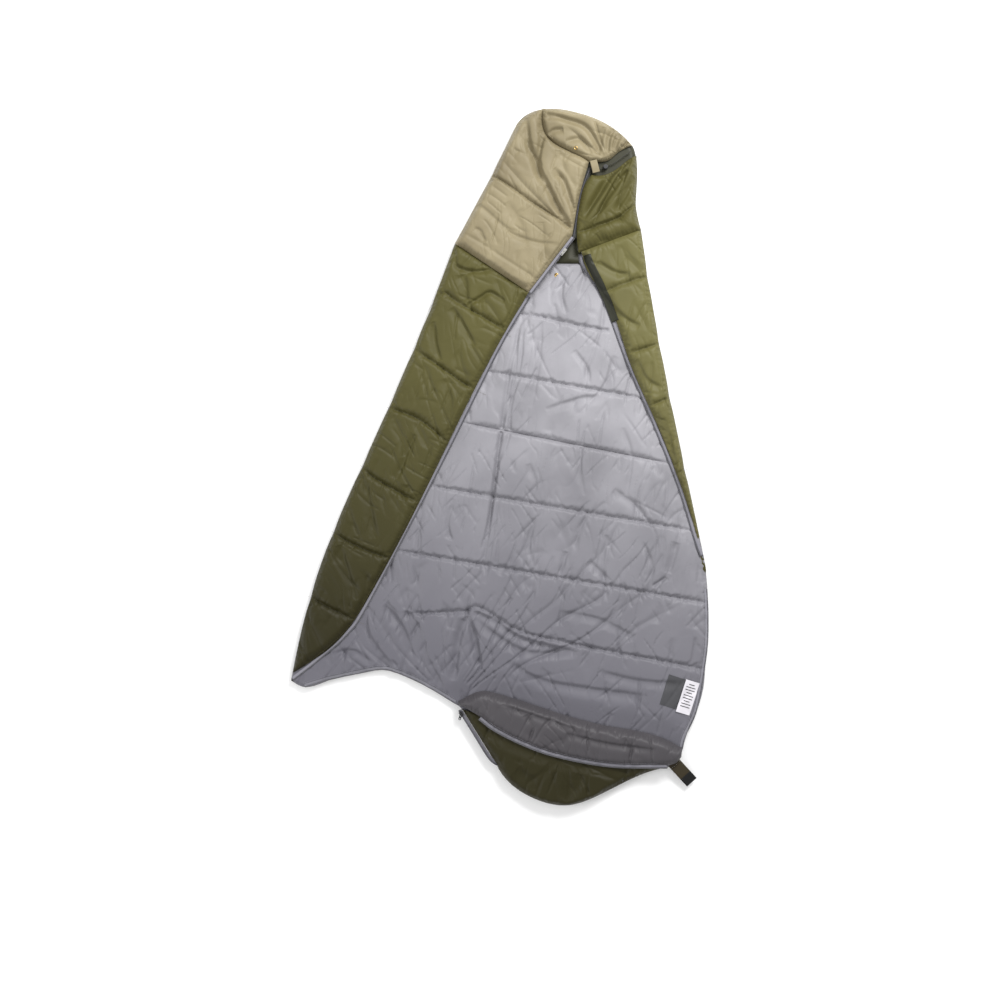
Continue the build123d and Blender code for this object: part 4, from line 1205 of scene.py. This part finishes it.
# Zips: a woven tape inside each free edge, with a coil of small teeth standing on it along the edge
TAPE_HALF = 0.006
TAPE_THICK = 0.0011
COIL_IN = 0.0026             # the coil's centre line, from the edge
TOOTH_PITCH = 0.0026
TOOTH_HALF, TOOTH_HIGH = 0.0023, 0.0013     # half a tooth's length and half its height
on_lower, on_upper = height_on(lower_skin), height_on(upper_skin)
LOWER_LEFT_TAPE = LOWER_LEFT[1:-1] + [(-0.140, -0.763)]
RIGHT_SIDE_TAPE = [(0.565, -0.900), (0.575, -0.862), (0.611, -0.778), (0.640, -0.610), (0.645, -0.500),
                   (0.641, -0.400)]
FOOT_ZIP = [(-0.1286, -0.7836), (-0.083, -0.857), (-0.040, -0.926), (-0.018, -0.948), (0.014, -0.960)]
ZIPS = [
    ("left_zip", LEFT_ZIP, "left_flap", follow_left, None),
    ("right_zip", RIGHT_ZIP, "right_flap", follow_right, None),
    ("foot_flap_zip", FLAP_ZIP, "foot_flap", follow_foot, None),
    ("yoke_zip", YOKE_ZIP, "root", None, None),
    ("foot_zip", FOOT_ZIP, "root", None, None),
    ("lower_left_zip", LOWER_LEFT_TAPE, "root", None, on_lower),
    ("right_side_zip", RIGHT_SIDE_TAPE, "root", None, on_lower),
]
for zip_name, edge, body, follow, on_skin in ZIPS:
    tape_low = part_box(f"{zip_name}_tape")[0].z

    def tape_under(p, on_skin=on_skin, tape_low=tape_low):
        return np.full(len(p), tape_low) if on_skin is None else on_skin(p) + 0.0005

    strip(f"bag_{zip_name}_tape", beside(edge, TAPE_HALF)[::3], TAPE_HALF, TAPE_THICK, tape_under, "zip_tape",
          body, [f"{zip_name}_tape"], follow)
    teeth, tooth_ways = stations(beside(edge, COIL_IN)[::3], TOOTH_PITCH)
    heights = tape_under(teeth) + TAPE_THICK + 0.0011
    across_ways = left_of(tooth_ways)
    x, faces = bars(np.column_stack([teeth, heights]), across_ways, TOOTH_HALF, 0.42 * TOOTH_PITCH, TOOTH_HIGH)
    trim(f"bag_{zip_name}_teeth", x, faces, "zip_coil", body, [f"{zip_name}_coil"], follow)

# The closed zip from the top slider up to the face slit
CLOSED_ZIP = [(0.226, 0.672), (0.231, 0.703), (0.242, 0.778), (0.254, 0.828), (0.277, 0.888)]
closed_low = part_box("yoke_zip_tape")[0].z - 0.0030
strip("bag_closed_zip_tape", CLOSED_ZIP, 0.008, TAPE_THICK, closed_low, "placket_dark", "root")
teeth, tooth_ways = stations(CLOSED_ZIP, 0.6 * TOOTH_PITCH)
sign = np.where(np.arange(len(teeth)) % 2, 1, -1)[:, None]
across_ways = left_of(tooth_ways)
centres = np.column_stack([teeth + 0.0009 * sign * across_ways, np.full(len(teeth), closed_low + 0.0024)])
x, faces = bars(centres, across_ways, TOOTH_HALF, 0.28 * TOOTH_PITCH, TOOTH_HIGH)
trim("bag_closed_zip_teeth", x, faces, "zip_coil", "root")

# Placket beside the right zip; its near-black colour is partly its own dark cloth and partly painted shadow
PLACKET = [(0.254, 0.618), (0.262, 0.592), (0.313, 0.487), (0.346, 0.402)]
on_right = height_on(skins["right"])
placket = strip("bag_placket", beside(PLACKET, 0.014)[::4], 0.011, 0.0010, lambda p: on_right(p) + 0.0010,
                "placket_dark", "right_flap", ["right_placket"], follow_right, across=9)


def cloth_piece(name, start, way, length, width, low, thick, finish, body, nodes):
    """A flat rectangle of cloth or webbing, from its start along its way."""
    end = (start[0] + length * way[0], start[1] + length * way[1])
    piece = strip(name, [start, end], width / 2, thick, low, finish, body, nodes,
                  across=max(5, round(width / 0.004)), spacing=0.003)
    return piece


TAB_HINGE, TAB_WAY = (0.280, 0.888), (0.970, 0.242)
tab_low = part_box("throat_tab")[0].z
cloth_piece("bag_throat_tab", TAB_HINGE, TAB_WAY, 0.022, 0.038,
            lambda p: tab_low + 0.0012 + 0.0007 * np.sin(150 * p[:, 1]), 0.0011, "shell_tan",
            "throat_tab", ["throat_tab"])

STRAP_HINGE, STRAP_WAY, STRAP_WIDE = (0.5425, -0.950), (0.6744, -0.7384), 0.040
strap_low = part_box("hang_strap")[0].z


def strap_place(distance):
    return (STRAP_HINGE[0] + distance * STRAP_WAY[0], STRAP_HINGE[1] + distance * STRAP_WAY[1])


def strap_sag(points):
    """The webbing's height: it sags towards its free end."""
    out = (points[:, 0] - STRAP_HINGE[0]) * STRAP_WAY[0] + (points[:, 1] - STRAP_HINGE[1]) * STRAP_WAY[1]
    return strap_low - 0.007 * smoothstep((out - 0.002) / 0.085)


for strap_name, strap_from, strap_length, finish, body in (
        ("hang_strap_anchor", -0.012, 0.012, "strap_brown", "root"),
        ("hang_strap", 0.0005, 0.044, "strap_brown", "hang_strap"),
        ("hang_strap_tip", 0.0445, 0.030, "strap_black", "hang_strap")):
    cloth_piece(f"bag_{strap_name}", strap_place(strap_from), STRAP_WAY, strap_length, STRAP_WIDE, strap_sag,
                0.0020, finish, body, [strap_name])

SIDE_WAY = (-0.951, 0.309)
PATCH_START = (0.5577, -0.7323)
cloth_piece("bag_patch", PATCH_START, SIDE_WAY, 0.054, 0.096, lambda p: on_lower(p) + 0.0008, 0.0008,
            "patch_grey", "root", ["label_patch"])
LABEL_HINGE = (0.600, -0.748)


def label_under(points):
    """The label's height: a little above the lining, with a soft curl at its free side."""
    out = (points[:, 0] - LABEL_HINGE[0]) * SIDE_WAY[0] + (points[:, 1] - LABEL_HINGE[1]) * SIDE_WAY[1]
    return on_lower(points) + 0.0013 + 0.0022 * smoothstep(out / 0.045)


cloth_piece("bag_care_label", LABEL_HINGE, SIDE_WAY, 0.045, 0.104, label_under, 0.0007, "label_white",
            "care_label", ["care_label"])
# Plain printed bars across the label instead of wording, every third one shorter
LABEL_DOWN = np.array([-SIDE_WAY[1], SIDE_WAY[0]])
BAR_MIDDLE, BAR_FIRST, BAR_PITCH = 0.0225, -0.040, 0.0088
for row in range(9):
    bar_half = 0.015 if row % 3 else 0.009
    bar_down = BAR_FIRST + BAR_PITCH * row
    start = np.array(LABEL_HINGE) + (BAR_MIDDLE - bar_half) * np.array(SIDE_WAY) + bar_down * LABEL_DOWN
    end = start + 2 * bar_half * np.array(SIDE_WAY)
    strip(f"bag_label_bar_{row}", [tuple(start), tuple(end)], 0.0013, 0.00025,
          lambda p: label_under(p) + 0.00085, "print", "care_label", across=3, spacing=0.004)


def turned(name, centre, low, profile, finish, body, nodes, sides=32):
    """A round metal part from a profile of radius and height, the profile closed on itself."""
    angles = np.arange(sides) * 2 * math.pi / sides
    x = np.array([(centre[0] + r * math.cos(a), centre[1] + r * math.sin(a), low + h)
                  for a in angles for r, h in profile])
    count = len(profile)
    faces = []
    for turn in range(sides):
        here, there = turn * count, (turn + 1) % sides * count
        for a in range(count):
            b = (a + 1) % count
            faces.append((here + a, there + a, there + b, here + b))
    return trim(name, x, faces, finish, body, nodes)


SNAP = (0.174, 0.561)
snap_low = float(on_upper(np.array([SNAP]))[0])
turned("bag_throat_snap", SNAP, snap_low,
       [(0.0004, -0.001), (0.0064, -0.001), (0.0066, 0.0004), (0.0062, 0.0011), (0.0050, 0.0014),
        (0.0043, 0.0012), (0.0040, 0.0007), (0.0029, 0.0006), (0.0026, 0.0018), (0.0021, 0.0025),
        (0.0010, 0.0028), (0.0004, 0.0028)], "brass", "root", ["throat_snap"])
on_yoke, on_crown = height_on(yoke_skin), height_on(crown_skin)
EYELET = (0.232, 0.945)
eyelet_low = float(on_crown(np.array([EYELET]))[0])
turned("bag_eyelet", EYELET, eyelet_low,
       [(0.0030, -0.002), (0.0058, -0.001), (0.0062, 0.0002), (0.0059, 0.0009), (0.0050, 0.0013),
        (0.0040, 0.0012), (0.0033, 0.0006), (0.0029, -0.0002)], "brass", "root", ["drawcord_eyelet"])
turned("bag_eyelet_hole", EYELET, eyelet_low, [(0.0001, -0.002), (0.0029, -0.002), (0.0029, 0.0003),
                                               (0.0001, 0.0003)], "cord_dark", "root", [])


# Stitching: short threads along the quilting and the hems
def stitches(name, lines, height, finish, body, follow=None, pitch=0.0052):
    """Short threads along lines, lying in the skin."""
    places, ways = zip(*[stations(line, pitch) for line in lines if len(line) > 1])
    places, ways = np.concatenate(places), np.concatenate(ways)
    centres = np.column_stack([places, height(places) + 0.0003])
    x, faces = bars(centres, ways, 0.36 * pitch, 0.00038, 0.00038, sides=5)
    trim(name, x, faces, finish, body, (), follow)


def shown(lines):
    """The lines without the stretches that another layer covers."""
    kept = []
    for line in lines:
        run = smooth_line(line, 0.004)
        clear = ~covered(run)
        for part in np.split(np.arange(len(run)), np.where(np.diff(clear.astype(int)))[0] + 1):
            if clear[part[0]] and len(part) > 4:
                kept.append(run[part])
    return kept


lining_hems = [beside(LOWER_LEFT_TAPE, 0.0155)[::4], beside(RIGHT_SIDE_TAPE, 0.0155)[::4]]
stitches("bag_stitches_lower", shown(LINING_SEAMS[2:]) + lining_hems, on_lower, "thread_grey",
         "root")
stitches("bag_stitches_upper", shown(LINING_SEAMS[:2]), on_upper, "thread_grey", "root")
on_left = height_on(skins["left"])
stitches("bag_stitches_left", LEFT_SEAMS + [beside(LEFT_ZIP, 0.016)[8:-8:4]], on_left, "thread_green",
         "left_flap", follow_left)
stitches("bag_stitches_right", RIGHT_SEAMS + [beside(RIGHT_ZIP, 0.016)[8:-8:4]], on_right, "thread_green",
         "right_flap", follow_right)
stitches("bag_stitches_yoke", YOKE_SEAMS + [beside(YOKE_ZIP, 0.016)[2:-4:4]], on_yoke, "thread_tan",
         "root")
stitches("bag_stitches_crown", [beside(CROWN_HEM, -0.005)[4:-4:4]], on_crown, "thread_tan",
         "root")
stitches("bag_stitches_throat", THROAT_SEAMS, height_on(throat_skin), "thread_green",
         "root")
stitches("bag_stitches_foot_flap", [beside(FLAP_ZIP, 0.016)[8:-8:4]], height_on(flap_skin), "thread_grey",
         "foot_flap", follow_foot)

# The small hard parts keep their CAD shape and get these finishes
NODE_FINISH = {
    "top_slider": "slider_silver", "top_pull": "slider_silver",
    "bottom_slider": "slider_black", "bottom_pull": "slider_black",
    "cord_lock_body": "black_plastic", "cord_lock_button": "black_plastic",
    "cord_lock_spring": "spring_steel", "drawcord": "cord_dark",
}


# ---------------------------------------------------------------- finishes of the CAD nodes that stay

for node, thing in frame["nodes"].items():
    if thing.hide_render:
        continue
    thing.data.materials.clear()
    thing.data.materials.append(M[NODE_FINISH[node]])

# ---------------------------------------------------------------- floor, light and camera

FLOOR_HALF, FLOOR_LEVEL = 12.0, -0.0015
floor_corners = [(x * FLOOR_HALF, y * FLOOR_HALF, FLOOR_LEVEL)
                 for x, y in ((-1, -1), (1, -1), (1, 1), (-1, 1))]
floor_mesh = bpy.data.meshes.new("floor")
floor_mesh.from_pydata(floor_corners, [], [(0, 1, 2, 3)])
floor = bpy.data.objects.new("floor", floor_mesh)
bpy.context.scene.collection.objects.link(floor)
floor_finish = bpy.data.materials.new("floor_white")
floor_finish.use_nodes = True
floor_shader = floor_finish.node_tree.nodes["Principled BSDF"]
floor_shader.inputs["Base Color"].default_value = (0.94, 0.94, 0.94, 1)
floor_shader.inputs["Roughness"].default_value = 0.9
floor_shader.inputs["Specular IOR Level"].default_value = 0.1
floor_mesh.materials.append(floor_finish)

world = bpy.data.worlds.new("studio")
bpy.context.scene.world = world
world.use_nodes = True
world.node_tree.nodes["Background"].inputs["Color"].default_value = (1, 1, 1, 1)
world.node_tree.nodes["Background"].inputs["Strength"].default_value = 0.70


def area_light(name, place, aim, size, energy):
    data = bpy.data.lights.new(name, "AREA")
    data.shape = "RECTANGLE"
    data.size, data.size_y = size
    data.energy = energy
    light = bpy.data.objects.new(name, data)
    light.location = place
    light.rotation_euler = (Vector(aim) - Vector(place)).to_track_quat("-Z", "Y").to_euler()
    bpy.context.scene.collection.objects.link(light)


bpy.context.scene.view_settings.view_transform = "Standard"
area_light("key", (1.7, 2.7, 2.9), (0, 0.0, 0), (1.9, 1.5), 205)
area_light("fill", (-3.2, -1.2, 2.8), (0, -0.4, 0), (2.4, 2.4), 75)

# Straight above the bag, as in the photo
camera_data = bpy.data.cameras.new("camera")
camera_data.sensor_width = 36.0
camera_data.lens = 58.06
camera = bpy.data.objects.new("camera", camera_data)
camera.location = (0, -0.133, 5.0)
bpy.context.scene.collection.objects.link(camera)
bpy.context.scene.camera = camera
